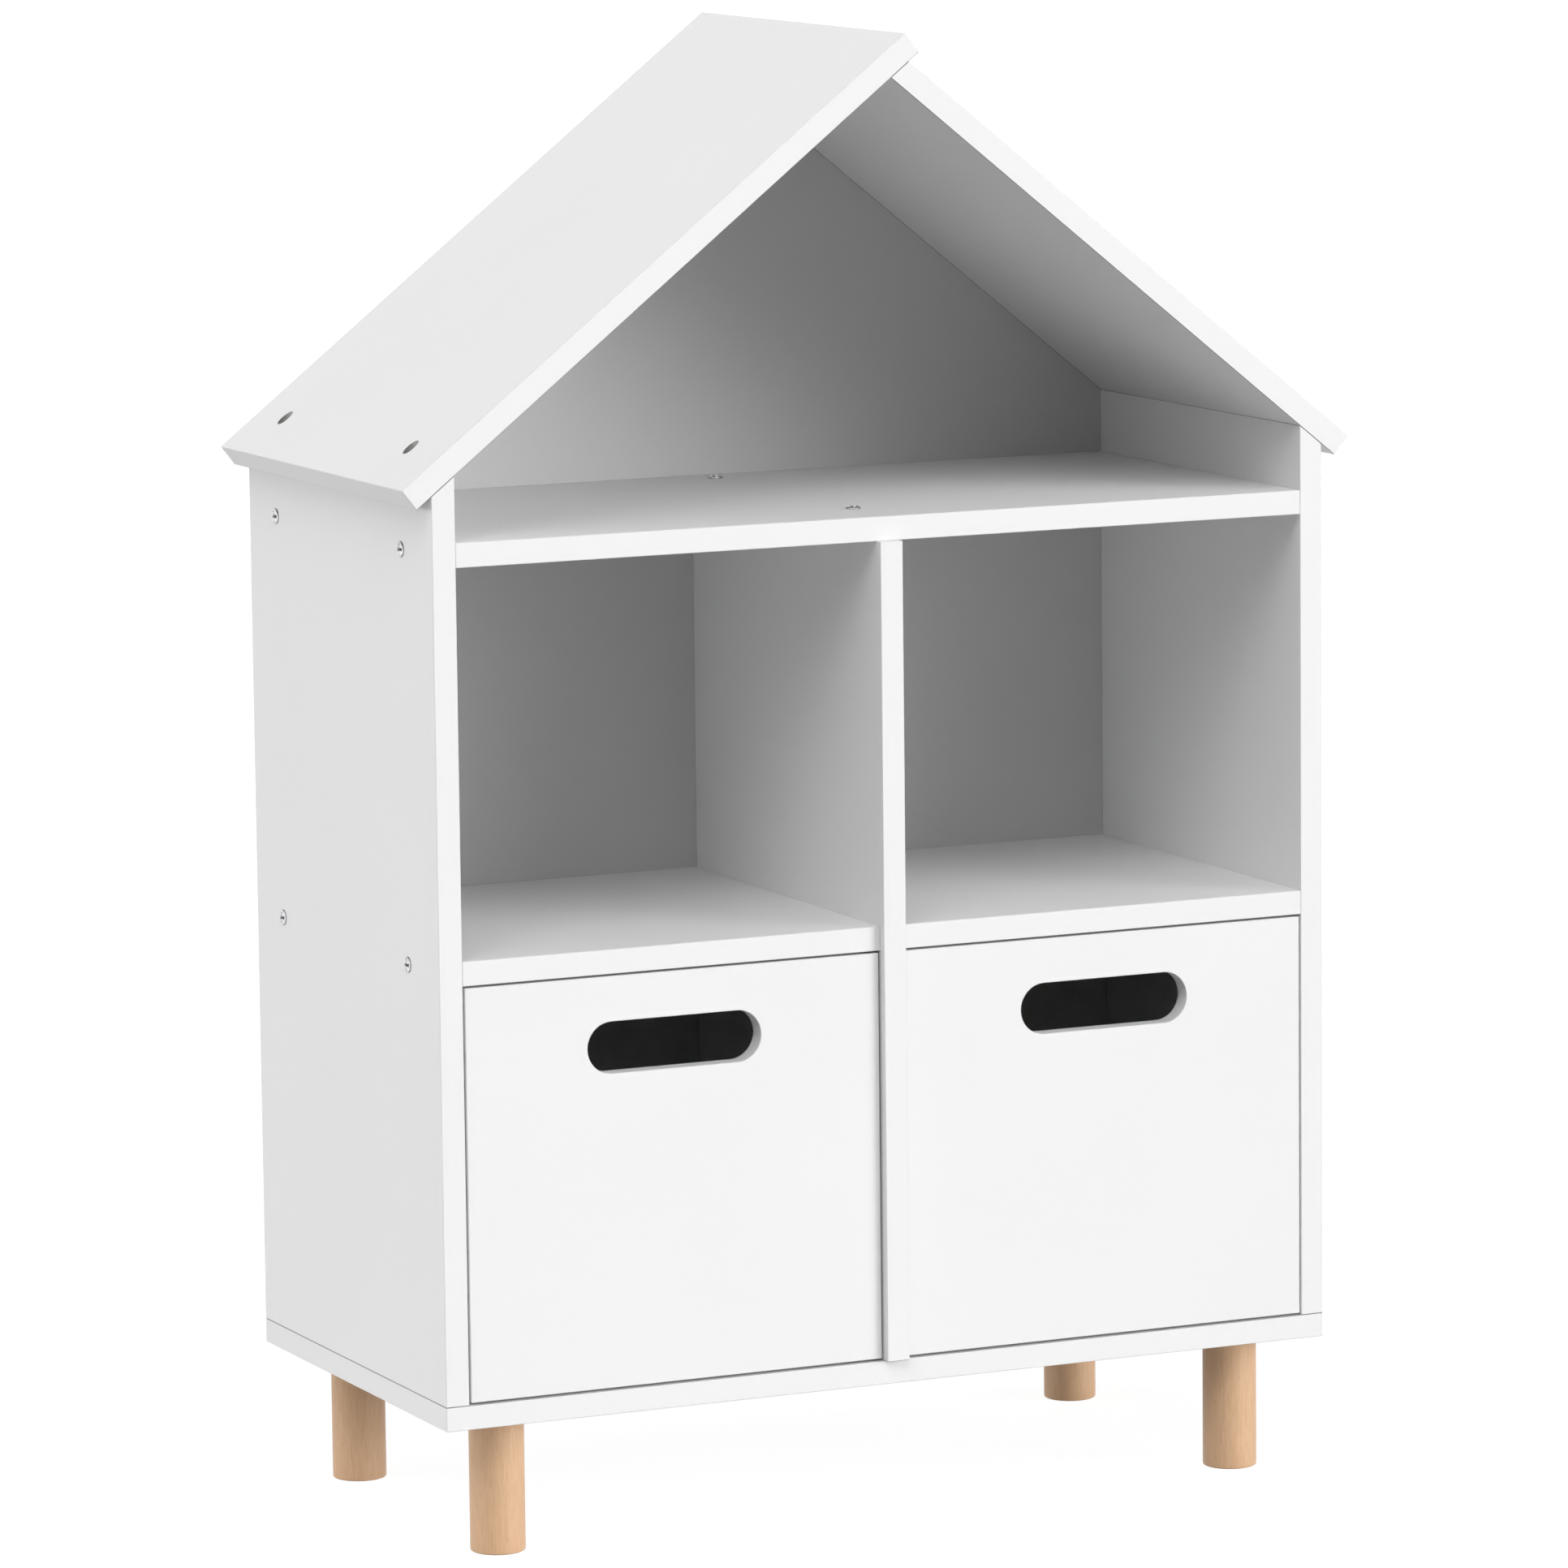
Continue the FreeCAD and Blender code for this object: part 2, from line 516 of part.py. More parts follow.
# ---------------------------------------------------------------- drawers
class Drawer:
    """One drawer in its bay: a slotted front on a doweled and screwed box."""

    def __init__(self, name, bay):
        self.name = name
        self.front_x = (bay[0] + FRONT_GAP, bay[1] - FRONT_GAP)
        self.front_z = (BASE_TOP + FRONT_GAP, MIDDLE_SHELF_BOTTOM - FRONT_GAP)
        self.outer = (bay[0] + DRAWER_SIDE_CLEARANCE, bay[1] - DRAWER_SIDE_CLEARANCE)
        self.inner = (self.outer[0] + DRAWER_BOARD, self.outer[1] - DRAWER_BOARD)
        inside_end = DRAWER_BOX_FRONT + DRAWER_INSIDE_DEPTH
        self.back_y = (inside_end, inside_end + DRAWER_BOARD)
        self.side_top = DRAWER_BOX_BOTTOM + DRAWER_SIDE_HEIGHT
        self.floor_z = DRAWER_BOX_BOTTOM + DRAWER_BOTTOM_RISE
        self.floor_top = self.floor_z + DRAWER_BOTTOM
        self.front_dowels = self.place_front_dowels()
        self.side_screws = self.place_side_screws()
        self.bottom_screws = self.place_bottom_screws()

    def place_front_dowels(self):
        """Two pegs from the front into the end of each box side."""
        heights = (self.floor_top + DRAWER_ROW_INSET, self.side_top - DRAWER_ROW_INSET)
        middles = (self.outer[0] + DRAWER_BOARD / 2, self.outer[1] - DRAWER_BOARD / 2)
        return [Dowel(Vector(x, DRAWER_BOX_FRONT, z), TO_BACK, FRONT_DOWEL_IN_FRONT, FRONT_DOWEL_IN_SIDE,
                      FRONT_DOWEL_DIAMETER) for x in middles for z in heights]

    def place_side_screws(self):
        """Two screws through each box side into the end of the box back."""
        heights = (self.floor_top + DRAWER_ROW_INSET, self.side_top - DRAWER_ROW_INSET)
        y = (self.back_y[0] + self.back_y[1]) / 2
        return [Screw(Vector(x, y, z), direction, DRAWER_SCREW_LENGTH, DRAWER_SCREW_SHANK, DRAWER_SCREW_HEAD)
                for x, direction in ((self.outer[0], TO_RIGHT), (self.outer[1], TO_LEFT)) for z in heights]

    def place_bottom_screws(self):
        """A row of screws up through the bottom into the lower edge of the box back."""
        first = self.inner[0] + DRAWER_ROW_INSET
        last = self.inner[1] - DRAWER_ROW_INSET
        y = (self.back_y[0] + self.back_y[1]) / 2
        pitch = (last - first) / (BOTTOM_SCREW_COUNT - 1)
        return [Screw(Vector(first + pitch * index, y, self.floor_z), UP, BOTTOM_SCREW_LENGTH,
                      BOTTOM_SCREW_SHANK, BOTTOM_SCREW_HEAD) for index in range(BOTTOM_SCREW_COUNT)]

    def bottom_space(self, reach, clearance):
        """The bottom's box, grown into its grooves by a reach and over its faces by a clearance."""
        return block((self.inner[0] - reach, self.inner[1] + reach), (DRAWER_BOX_FRONT - reach, self.back_y[1]),
                     (self.floor_z - clearance, self.floor_top + clearance))

    def groove(self):
        """The grooves for the bottom, run out behind the box back."""
        return self.bottom_space(GROOVE_DEPTH, GROOVE_SIDE_CLEARANCE)

    def slot(self):
        """A finger slot with round ends, across the front's thickness."""
        radius = SLOT_HEIGHT / 2
        middle_x = (self.front_x[0] + self.front_x[1]) / 2
        middle_z = self.front_z[1] - SLOT_DROP - radius
        half_run = SLOT_LENGTH / 2 - radius
        ends = [Part.makeCylinder(radius, DRAWER_FRONT, Vector(middle_x + offset, FRONT, middle_z), TO_BACK)
                for offset in (-half_run, half_run)]
        run = block((middle_x - half_run, middle_x + half_run), (FRONT, DRAWER_BOX_FRONT),
                    (middle_z - radius, middle_z + radius))
        return run.fuse(ends).removeSplitter()

    def front(self):
        """The front board: slot, grooves and dowel holes."""
        board = block(self.front_x, (FRONT, DRAWER_BOX_FRONT), self.front_z).cut(self.slot())
        board = eased(board).cut(self.groove())
        return drilled(board, self.front_dowels)

    def side(self, outer, inner):
        """A box side, run past the box back so that it stops against the back of the carcass."""
        span = (min(outer, inner), max(outer, inner))
        board = eased(block(span, (DRAWER_BOX_FRONT, DRAWER_BOX_REAR), (DRAWER_BOX_BOTTOM, self.side_top)))
        return drilled(board.cut(self.groove()), self.front_dowels + self.side_screws)

    def back(self):
        """The box back, between the sides and on top of the bottom."""
        board = eased(block(self.inner, self.back_y, (self.floor_top, self.side_top)))
        return drilled(board, self.side_screws + self.bottom_screws)

    def bottom(self):
        """The thin bottom, held in the grooves of the front and sides."""
        board = self.bottom_space(GROOVE_DEPTH - GROOVE_END_CLEARANCE, 0)
        return drilled(board, self.bottom_screws)

    def nodes(self):
        """Every piece of the drawer, by name."""
        pieces = {
            "front": self.front(),
            "left_side": self.side(self.outer[0], self.inner[0]),
            "right_side": self.side(self.outer[1], self.inner[1]),
            "back": self.back(),
            "bottom": self.bottom(),
            "front_dowels": group(self.front_dowels),
            "side_screws": group(self.side_screws),
            "bottom_screws": group(self.bottom_screws),
        }
        return {self.name + "_" + piece: shape for piece, shape in pieces.items()}


# ---------------------------------------------------------------- all pieces
def main():
    """Build every piece and write one STEP file for each."""
    os.makedirs("parts", exist_ok=True)
    nodes = carcass_nodes()
    nodes.update(Drawer("left_drawer", (LEFT_INNER, -BOARD / 2)).nodes())
    nodes.update(Drawer("right_drawer", (BOARD / 2, RIGHT_INNER)).nodes())
    for name, shape in nodes.items():
        solids = shape.Solids
        kept = solids[0] if len(solids) == 1 else Part.makeCompound(solids)
        kept.exportStep("parts/" + name + ".step")
        print(name, len(solids), "valid" if kept.isValid() else "NOT VALID", round(kept.Volume))


main()
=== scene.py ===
"""Looks of a house shaped bookcase: the finish of its boards, the turned and threaded detail of its
legs and fixings, and the plain studio that it stands in.

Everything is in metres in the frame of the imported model: +X to the right as the front is faced, +Y to
the back and +Z up, with the floor at z = 0.
"""

import logging
import math
from dataclasses import dataclass
from enum import Enum
from typing import Iterable, Mapping, Sequence

import bpy
import numpy as np
from mathutils import Matrix, Vector


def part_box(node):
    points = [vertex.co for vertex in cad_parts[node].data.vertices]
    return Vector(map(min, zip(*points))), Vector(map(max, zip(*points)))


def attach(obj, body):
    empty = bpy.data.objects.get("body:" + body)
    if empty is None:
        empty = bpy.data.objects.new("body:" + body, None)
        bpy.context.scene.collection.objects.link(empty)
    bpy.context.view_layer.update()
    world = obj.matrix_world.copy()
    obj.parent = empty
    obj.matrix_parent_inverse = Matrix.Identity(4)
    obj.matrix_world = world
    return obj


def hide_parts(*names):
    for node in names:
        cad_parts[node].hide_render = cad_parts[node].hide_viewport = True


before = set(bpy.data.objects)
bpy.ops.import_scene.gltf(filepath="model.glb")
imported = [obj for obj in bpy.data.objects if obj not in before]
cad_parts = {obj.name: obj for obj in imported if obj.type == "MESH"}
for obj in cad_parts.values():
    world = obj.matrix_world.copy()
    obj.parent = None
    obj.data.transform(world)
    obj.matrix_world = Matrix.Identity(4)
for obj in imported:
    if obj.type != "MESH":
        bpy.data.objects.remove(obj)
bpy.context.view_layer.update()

MM = 0.001
HAIR = 0.01 * MM  # how closely two measures of one solid agree
SHARP_ANGLE = 35.0  # degrees by which a sharp edge turns at least
BEVEL_SAMPLES = 4
OPENNESS_SAMPLES = 8
CROWN_AGREEMENT = 0.93  # cosine between the flat and the rounded normal on the crown of an edge
CROSSING_LEAN = 0.8  # largest cosine between the normals of a plane and of a face that crosses it
IMAGE_SIDE = 1932
log = logging.getLogger("bookcase")

Colour = tuple[float, float, float, float]
Span = tuple[float, float]
Socket = bpy.types.NodeSocket


class Slot(Enum):
    """The record's material slots."""

    BOARD = "white_board"
    THIN_BOARD = "thin_white_board"
    DRAWER_BOARD = "drawer_white_board"
    LEG = "leg_beech"
    DOWEL = "dowel_beech"
    SCREW = "bright_steel"
    BOLT = "zinc_steel"


class Side(Enum):
    """The two halves of the carcass, as the front is faced."""

    LEFT = "left"
    RIGHT = "right"


# ------------------------------------------------------------------------------------- node trees
class NodeBench:
    """Puts together the node tree of one material or of the world."""

    def __init__(self, owner: bpy.types.Material | bpy.types.World) -> None:
        """Empties the owner's node tree.

        Args:
            owner: the material or world whose tree is built.
        """
        owner.use_nodes = True
        self.owner = owner
        self.tree = owner.node_tree
        self.tree.nodes.clear()

    def add(self, kind: str, inputs: Mapping[str | int, object] | None = None,
            **settings: object) -> bpy.types.Node:
        """Adds one node.

        Args:
            kind: Blender's name for the node type.
            inputs: socket name or number, with a value or another node's output socket.
            **settings: properties of the node, set before its sockets.

        Returns:
            The new node.
        """
        node = self.tree.nodes.new(kind)
        for key, value in settings.items():
            setattr(node, key, value)
        for key, value in (inputs or {}).items():
            if isinstance(value, Socket):
                self.tree.links.new(value, node.inputs[key])
            else:
                node.inputs[key].default_value = value
        return node

    def place(self, stretch: Sequence[float] = (1.0, 1.0, 1.0)) -> Socket:
        """Object coordinates, multiplied by a stretch on each axis."""
        place = self.add("ShaderNodeTexCoord").outputs["Object"]
        return self.add("ShaderNodeMapping", {"Vector": place, "Scale": stretch}).outputs["Vector"]

    def noise(self, place: Socket, scale: float, detail: float = 2.0, roughness: float = 0.5) -> Socket:
        """A smooth random value from 0 to 1, with so many waves to the metre."""
        inputs = {"Vector": place, "Scale": scale, "Detail": detail, "Roughness": roughness}
        return self.add("ShaderNodeTexNoise", inputs).outputs["Fac"]

    def span(self, value: Socket, start: float, end: float, low: float = 0.0, high: float = 1.0) -> Socket:
        """The value carried from start..end to low..high, and held at both ends."""
        inputs = {"Value": value, "From Min": start, "From Max": end, "To Min": low, "To Max": high}
        return self.add("ShaderNodeMapRange", inputs).outputs["Result"]

    def maths(self, operation: str, first: Socket | float, second: Socket | float) -> Socket:
        """Two values put together by one of the Math node's operations."""
        return self.add("ShaderNodeMath", {0: first, 1: second}, operation=operation).outputs[0]

    def mix(self, share: Socket, first: Socket | Colour, second: Socket | Colour) -> Socket:
        """A colour that goes from the first to the second as the share goes from 0 to 1."""
        inputs = {"Factor": share, 6: first, 7: second}
        return self.add("ShaderNodeMix", inputs, data_type="RGBA").outputs[2]

    def vector_maths(self, operation: str, first: Socket, second: object, output: str = "Vector") -> Socket:
        """Two vectors put together by one of the Vector Math node's operations."""
        return self.add("ShaderNodeVectorMath", {0: first, 1: second}, operation=operation).outputs[output]

    def axis(self, place: Socket, name: str) -> Socket:
        """One of the three values of a place, named X, Y or Z."""
        return self.add("ShaderNodeSeparateXYZ", {"Vector": place}).outputs[name]

    def compare(self, value: Socket, middle: float, reach: float) -> Socket:
        """1 where the value is no further than the reach from the middle, and 0 elsewhere."""
        return self.add("ShaderNodeMath", {0: value, 1: middle, 2: reach}, operation="COMPARE").outputs[0]

    def bump(self, height: Socket, depth: float, normal: Socket | None = None) -> Socket:
        """Tips the normal by a relief.

        Args:
            height: a value from 0 to 1.
            depth: the relief that its whole range stands for.
            normal: the normal to start from, where it isn't the surface's own.

        Returns:
            The tipped normal.
        """
        inputs = {"Height": height, "Distance": depth, "Strength": 1.0}
        if normal is not None:
            inputs["Normal"] = normal
        return self.add("ShaderNodeBump", inputs).outputs["Normal"]

    def arris(self, radius: float) -> tuple[Socket, Socket]:
        """The rounding of sharp edges.

        Args:
            radius: how far from an edge the rounding starts.

        Returns:
            The rounded normal, and a share that is 0 on flats and 1 on an edge's crown.
        """
        rounded = self.add("ShaderNodeBevel", {"Radius": radius}, samples=BEVEL_SAMPLES).outputs["Normal"]
        flat = self.add("ShaderNodeNewGeometry").outputs["Normal"]
        agreement = self.vector_maths("DOT_PRODUCT", rounded, flat, "Value")
        return rounded, self.span(agreement, 1.0, CROWN_AGREEMENT)

    def crevice_shade(self, reach: float, start: float, end: float) -> Socket:
        """The closeness of other surfaces, found by ambient occlusion, as a share of painted shade.

        Args:
            reach: how far away they still count.
            start: open share of the surroundings at which the result leaves 0.
            end: smaller open share at which it comes to 1.

        Returns:
            A share of painted shade that is 0 in the open and 1 deep in a joint or a recess.
        """
        near = {"Distance": reach}
        open_share = self.add("ShaderNodeAmbientOcclusion", near, samples=OPENNESS_SAMPLES).outputs["AO"]
        return self.span(open_share, start, end)

    def surface(self, **inputs: object) -> bpy.types.Material | bpy.types.World:
        """Ends the tree with a Principled shader.

        Args:
            **inputs: socket names of the shader, with _ for each space.

        Returns:
            The owner of the tree.
        """
        named = {key.replace("_", " "): value for key, value in inputs.items()}
        shader = self.add("ShaderNodeBsdfPrincipled", named)
        self.add("ShaderNodeOutputMaterial", {"Surface": shader.outputs[0]})
        return self.owner


def grey(level: float) -> Colour:
    """A neutral colour of one linear level."""
    return (level, level, level, 1.0)


# --------------------------------------------------------------------------------------- finishes
@dataclass(frozen=True)
class Laminate:
    """White foil on board, faintly clouded, with a pearl grain, dulled arrises, dark lines where boards
    meet and painted shade in tight joints.
    """

    name: str
    level: float = 0.77
    cloud_depth: float = 0.010
    cloud_scale: float = 7.0
    cloud_contrast: Span = (0.32, 0.68)
    grain_scale: float = 1500.0
    grain_contrast: Span = (0.3, 0.7)
    grain_relief: float = 0.012 * MM
    roughness: float = 0.46
    roughness_swing: float = 0.05
    arris_radius: float = 0.35 * MM
    arris_level: float = 0.56
    arris_dullness: float = 0.08
    scuff_scale: float = 60.0
    scuff_contrast: Span = (0.40, 0.65)
    scuff_least: float = 0.6
    # painted shade in tight joints: how far other surfaces still count, the open shares between which the
    # arrises darken, and their darkest level
    joint_shade_reach: float = 1.2 * MM
    joint_shade_openness: Span = (0.92, 0.60)
    joint_shade_level: float = 0.24
    seam_level: float = 0.28
    seam_half: float = 0.32 * MM
    chip_scale: float = 1300.0
    chip_contrast: Span = (0.35, 0.65)
    # greys of the bare core in the counterbores, dark enough to be partly painted shade in the bores
    shaded_core_light: Colour = (0.40, 0.40, 0.39, 1.0)
    shaded_core_dark: Colour = (0.26, 0.26, 0.25, 1.0)
    bore_radius: float = 4.9 * MM
    bore_depth: float = 4.0 * MM
    shine: float = 0.30

    def seamed(self, bench: NodeBench, place: Socket) -> Socket:
        """Finds the thin lines in which boards meet: under both roof boards and on the base.

        A point is on a line where it is less than half its width away from the plane in which the
        boards touch, and where its own face crosses that plane. The plane under the right roof board
        counts only to the right of the one under the left board, as it would run on into that board.

        Args:
            bench: the material's node bench.
            place: Object coordinates.

        Returns:
            1 on the lines and 0 elsewhere.
        """
        left, right = Seat.under("left_roof_panel"), Seat.under("right_roof_panel")
        beyond = bench.maths("GREATER_THAN", bench.axis(place, "X"), left.crossing_width(right))
        under_right = bench.maths("MULTIPLY", right.line(bench, place, self.seam_half), beyond)
        roof = bench.maths("MAXIMUM", left.line(bench, place, self.seam_half), under_right)
        return bench.maths("MAXIMUM", roof, Seat.over("base_board").line(bench, place, self.seam_half))

    def bored(self, bench: NodeBench, place: Socket) -> Socket:
        """Finds the counterbores of the roof, where the board's bare core shows, in a grey dark enough to
        be partly painted shade in the bores.

        The holes stand at the corners of a rectangle, so the absolute values of a point's width and
        of its depth from the rectangle's middle bring it to one corner, and it lies in a hole where
        it is less than the bore's radius away from that corner and not far under the screw's head.

        Args:
            bench: the material's node bench.
            place: Object coordinates.

        Returns:
            1 in the counterbores and 0 elsewhere.
        """
        first, last = (fixing.start for fixing in fixings_of("right_roof_screws"))
        middle = (first + last) / 2.0
        centred = bench.vector_maths("SUBTRACT", place, (0.0, middle.y, 0.0))
        folded = bench.add("ShaderNodeVectorMath", {0: centred}, operation="ABSOLUTE").outputs["Vector"]
        corner = (middle.x, abs(first.y - middle.y), 0.0)
        offset = bench.vector_maths("SUBTRACT", folded, corner)
        flat = bench.vector_maths("MULTIPLY", offset, (1.0, 1.0, 0.0))
        away = bench.add("ShaderNodeVectorMath", {0: flat}, operation="LENGTH").outputs["Value"]
        above = bench.maths("GREATER_THAN", bench.axis(place, "Z"), middle.z - self.bore_depth)
        return bench.maths("MULTIPLY", bench.maths("LESS_THAN", away, self.bore_radius), above)

    def material(self) -> bpy.types.Material:
        """Makes the finish.

        Returns:
            A material on Object coordinates.
        """
        bench = NodeBench(bpy.data.materials.new(self.name))
        place = bench.place()
        cloud = bench.span(bench.noise(place, self.cloud_scale, detail=4.0), *self.cloud_contrast)
        grain = bench.noise(place, self.grain_scale, detail=1.0)
        rounded, edge = bench.arris(self.arris_radius)
        face = bench.mix(cloud, grey(self.level - self.cloud_depth), grey(self.level))
        rubbing = bench.noise(place, self.scuff_scale, detail=5.0, roughness=0.7)
        scuffs = bench.span(rubbing, *self.scuff_contrast, self.scuff_least, 1.0)
        worn = bench.mix(bench.maths("MULTIPLY", edge, scuffs), face, grey(self.arris_level))
        lined = bench.mix(self.seamed(bench, place), worn, grey(self.seam_level))
        # painted shade: the crown of each arris darkens as other surfaces close in on it, as the shade in a
        # tight joint
        painted_joint_shade = bench.maths("MULTIPLY", edge, bench.crevice_shade(self.joint_shade_reach, *self.joint_shade_openness))
        with_joint_shade = bench.mix(painted_joint_shade, lined, grey(self.joint_shade_level))
        chips = bench.span(bench.noise(place, self.chip_scale, detail=3.0), *self.chip_contrast)
        # the counterbores' grey: the bare core, and painted shade in the bores
        core = bench.mix(chips, self.shaded_core_dark, self.shaded_core_light)
        colour = bench.mix(self.bored(bench, place), with_joint_shade, core)
        smooth, rough = self.roughness - self.roughness_swing, self.roughness + self.roughness_swing
        swing = bench.span(grain, *self.grain_contrast, smooth, rough)
        roughness = bench.maths("ADD", swing, bench.span(edge, 0.0, 1.0, 0.0, self.arris_dullness))
        return bench.surface(Base_Color=colour, Roughness=roughness, Specular_IOR_Level=self.shine,
                             Normal=bench.bump(grain, self.grain_relief, rounded))


@dataclass(frozen=True)
class Beech:
    """Steamed beech: fine upright fibres in soft bands, short dark pores and a thin coat."""

    name: str
    light: Colour = (0.692, 0.447, 0.270, 1.0)
    dark: Colour = (0.602, 0.376, 0.220, 1.0)
    pore: Colour = (0.440, 0.245, 0.132, 1.0)
    fibre_scale: float = 1300.0
    fibre_contrast: Span = (0.38, 0.58)
    band_scale: float = 120.0
    band_contrast: Span = (0.2, 0.7)
    band_least: float = 0.35
    pore_scale: float = 1250.0
    pore_contrast: Span = (0.62, 0.72)
    pore_strength: float = 0.25
    drawn_out: float = 0.055  # share of the scale across the grain that the scale along it has
    pore_shortness: float = 2.5
    roughness: float = 0.42
    roughness_contrast: Span = (0.3, 0.7)
    roughness_less: float = 0.06
    roughness_more: float = 0.08
    relief: float = 0.03 * MM
    shine: float = 0.4

    def material(self) -> bpy.types.Material:
        """Makes the finish, with its grain along Z.

        Returns:
            A material on Object coordinates.
        """
        bench = NodeBench(bpy.data.materials.new(self.name))
        along = bench.place((1.0, 1.0, self.drawn_out))
        growth = bench.noise(along, self.band_scale, detail=3.0)
        bands = bench.span(growth, *self.band_contrast, self.band_least, 1.0)
        fibres = bench.noise(along, self.fibre_scale, detail=4.0, roughness=0.65)
        lightness = bench.maths("MULTIPLY", bands, bench.span(fibres, *self.fibre_contrast))
        wood = bench.mix(lightness, self.dark, self.light)
        short = bench.place((1.0, 1.0, self.drawn_out * self.pore_shortness))
        specks = bench.noise(short, self.pore_scale, detail=1.0)
        pores = bench.span(specks, *self.pore_contrast, 0.0, self.pore_strength)
        colour = bench.mix(pores, wood, self.pore)
        smooth, rough = self.roughness - self.roughness_less, self.roughness + self.roughness_more
        roughness = bench.span(fibres, *self.roughness_contrast, smooth, rough)
        height = bench.maths("SUBTRACT", fibres, pores)
        return bench.surface(Base_Color=colour, Roughness=roughness, Specular_IOR_Level=self.shine,
                             Normal=bench.bump(height, self.relief))


@dataclass(frozen=True)
class PlatedSteel:
    """Plated steel with fine scratches, a slightly uneven polish and painted shade in its recesses."""

    name: str
    colour: Colour = (0.88, 0.88, 0.89, 1.0)
    shadow: Colour = (0.60, 0.60, 0.62, 1.0)
    # painted shade: near black where ambient occlusion finds the recess and the rim closed in
    recess_shade: Colour = (0.020, 0.020, 0.022, 1.0)
    recess_shade_reach: float = 1.6 * MM
    recess_shade_openness: Span = (0.92, 0.50)
    cloud_scale: float = 500.0
    cloud_contrast: Span = (0.35, 0.65)
    scratch_scale: float = 5200.0
    scratch_contrast: Span = (0.3, 0.7)
    roughness: float = 0.16
    roughness_less: float = 0.05
    roughness_more: float = 0.10
    relief: float = 0.004 * MM

    def material(self) -> bpy.types.Material:
        """Makes the finish.

        Returns:
            A metal on Object coordinates.
        """
        bench = NodeBench(bpy.data.materials.new(self.name))
        place = bench.place()
        cloud = bench.span(bench.noise(place, self.cloud_scale, detail=4.0), *self.cloud_contrast)
        scratches = bench.noise(place, self.scratch_scale, detail=2.0)
        plate = bench.mix(cloud, self.shadow, self.colour)
        # painted shade in the cross recess and round the turned down rim, by ambient occlusion
        colour = bench.mix(bench.crevice_shade(self.recess_shade_reach, *self.recess_shade_openness), plate, self.recess_shade)
        smooth, rough = self.roughness - self.roughness_less, self.roughness + self.roughness_more
        roughness = bench.span(scratches, *self.scratch_contrast, smooth, rough)
        return bench.surface(Base_Color=colour, Metallic=1.0, Roughness=roughness,
                             Normal=bench.bump(scratches, self.relief))


LAMINATE = Laminate("satin_white_laminate")
# painted shade: the backs and drawer bottoms are white foil, set to mid grey (level 0.56, arrises 0.48) so
# that the insides of the bays and drawers look shaded
SHADED_THIN_LAMINATE = Laminate("white_foil_on_fibreboard_painted_shade", level=0.56, arris_level=0.48, cloud_scale=11.0,
                         roughness=0.5)
DRAWER_LAMINATE = Laminate("satin_white_drawer_laminate", cloud_scale=8.5)
LEG_BEECH = Beech("lacquered_beech")
DOWEL_BEECH = Beech("bare_beech", light=(0.70, 0.50, 0.32, 1.0), roughness=0.6, shine=0.2)
NICKEL = PlatedSteel("nickel_plated_steel")
ZINC = PlatedSteel("zinc_plated_steel", colour=(0.66, 0.67, 0.70, 1.0), shadow=(0.50, 0.51, 0.55, 1.0),
                   roughness=0.3)
FINISHES = {
    Slot.BOARD: LAMINATE,
    Slot.THIN_BOARD: SHADED_THIN_LAMINATE,
    Slot.DRAWER_BOARD: DRAWER_LAMINATE,
    Slot.LEG: LEG_BEECH,
    Slot.DOWEL: DOWEL_BEECH,
    Slot.SCREW: NICKEL,
    Slot.BOLT: ZINC,
}


class Palette:
    """Hands out each finish as one shared material."""

    def __init__(self) -> None:
        """Starts with nothing made."""
        self.made: dict[Slot, bpy.types.Material] = {}

    def material(self, slot: Slot) -> bpy.types.Material:
        """Gives the material of a slot, which is made the first time that it is asked for.

        Args:
            slot: the record's slot.

        Returns:
            The slot's one material.
        """
        if slot not in self.made:
            self.made[slot] = FINISHES[slot].material()
        return self.made[slot]

    def dress(self, node: str, slot: Slot) -> None:
        """Puts a slot's finish on every material slot of a CAD node.

        Args:
            node: name of the CAD node.
            slot: the record's slot.
        """
        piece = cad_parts[node]
        if not piece.material_slots:
            piece.data.materials.append(None)
        for index in range(len(piece.material_slots)):
            piece.material_slots[index].material = self.material(slot)
        log.info("%s: %s", node, slot.value)


PALETTE = Palette()


# ------------------------------------------------------------------------------------ mesh making
@dataclass
class Skin:
    """Points, with quads and triangles between them, in metres."""

    points: np.ndarray
    quads: np.ndarray
    triangles: np.ndarray

    def volume(self) -> float:
        """Sums the tetrahedra between the origin and every triangle, each with its sign.

        Returns:
            The enclosed volume, less than 0 where the faces point in.
        """
        halves = np.concatenate([self.triangles, self.quads[:, [0, 1, 2]], self.quads[:, [0, 2, 3]]])
        a, b, c = (self.points[halves[:, index]] for index in range(3))
        return float(np.einsum("ij,ij->i", a, np.cross(b, c)).sum() / 6.0)

    def outward(self) -> "Skin":
        """Turns the faces to point out.

        Returns:
            This skin, or a turned one where its faces point in.
        """
        if self.volume() >= 0.0:
            return self
        return Skin(self.points, self.quads[:, ::-1], self.triangles[:, ::-1])

    def placed(self, origin: Vector, direction: Vector) -> "Skin":
        """The skin with its own +Z laid along a direction from an origin.

        Args:
            origin: where the skin's own origin goes.
            direction: where its +Z points.

        Returns:
            The skin in the row frame.
        """
        turned = direction.to_track_quat("Z", "Y").to_matrix()
        return Skin(self.points @ np.array(turned).T + np.array(origin), self.quads, self.triangles)


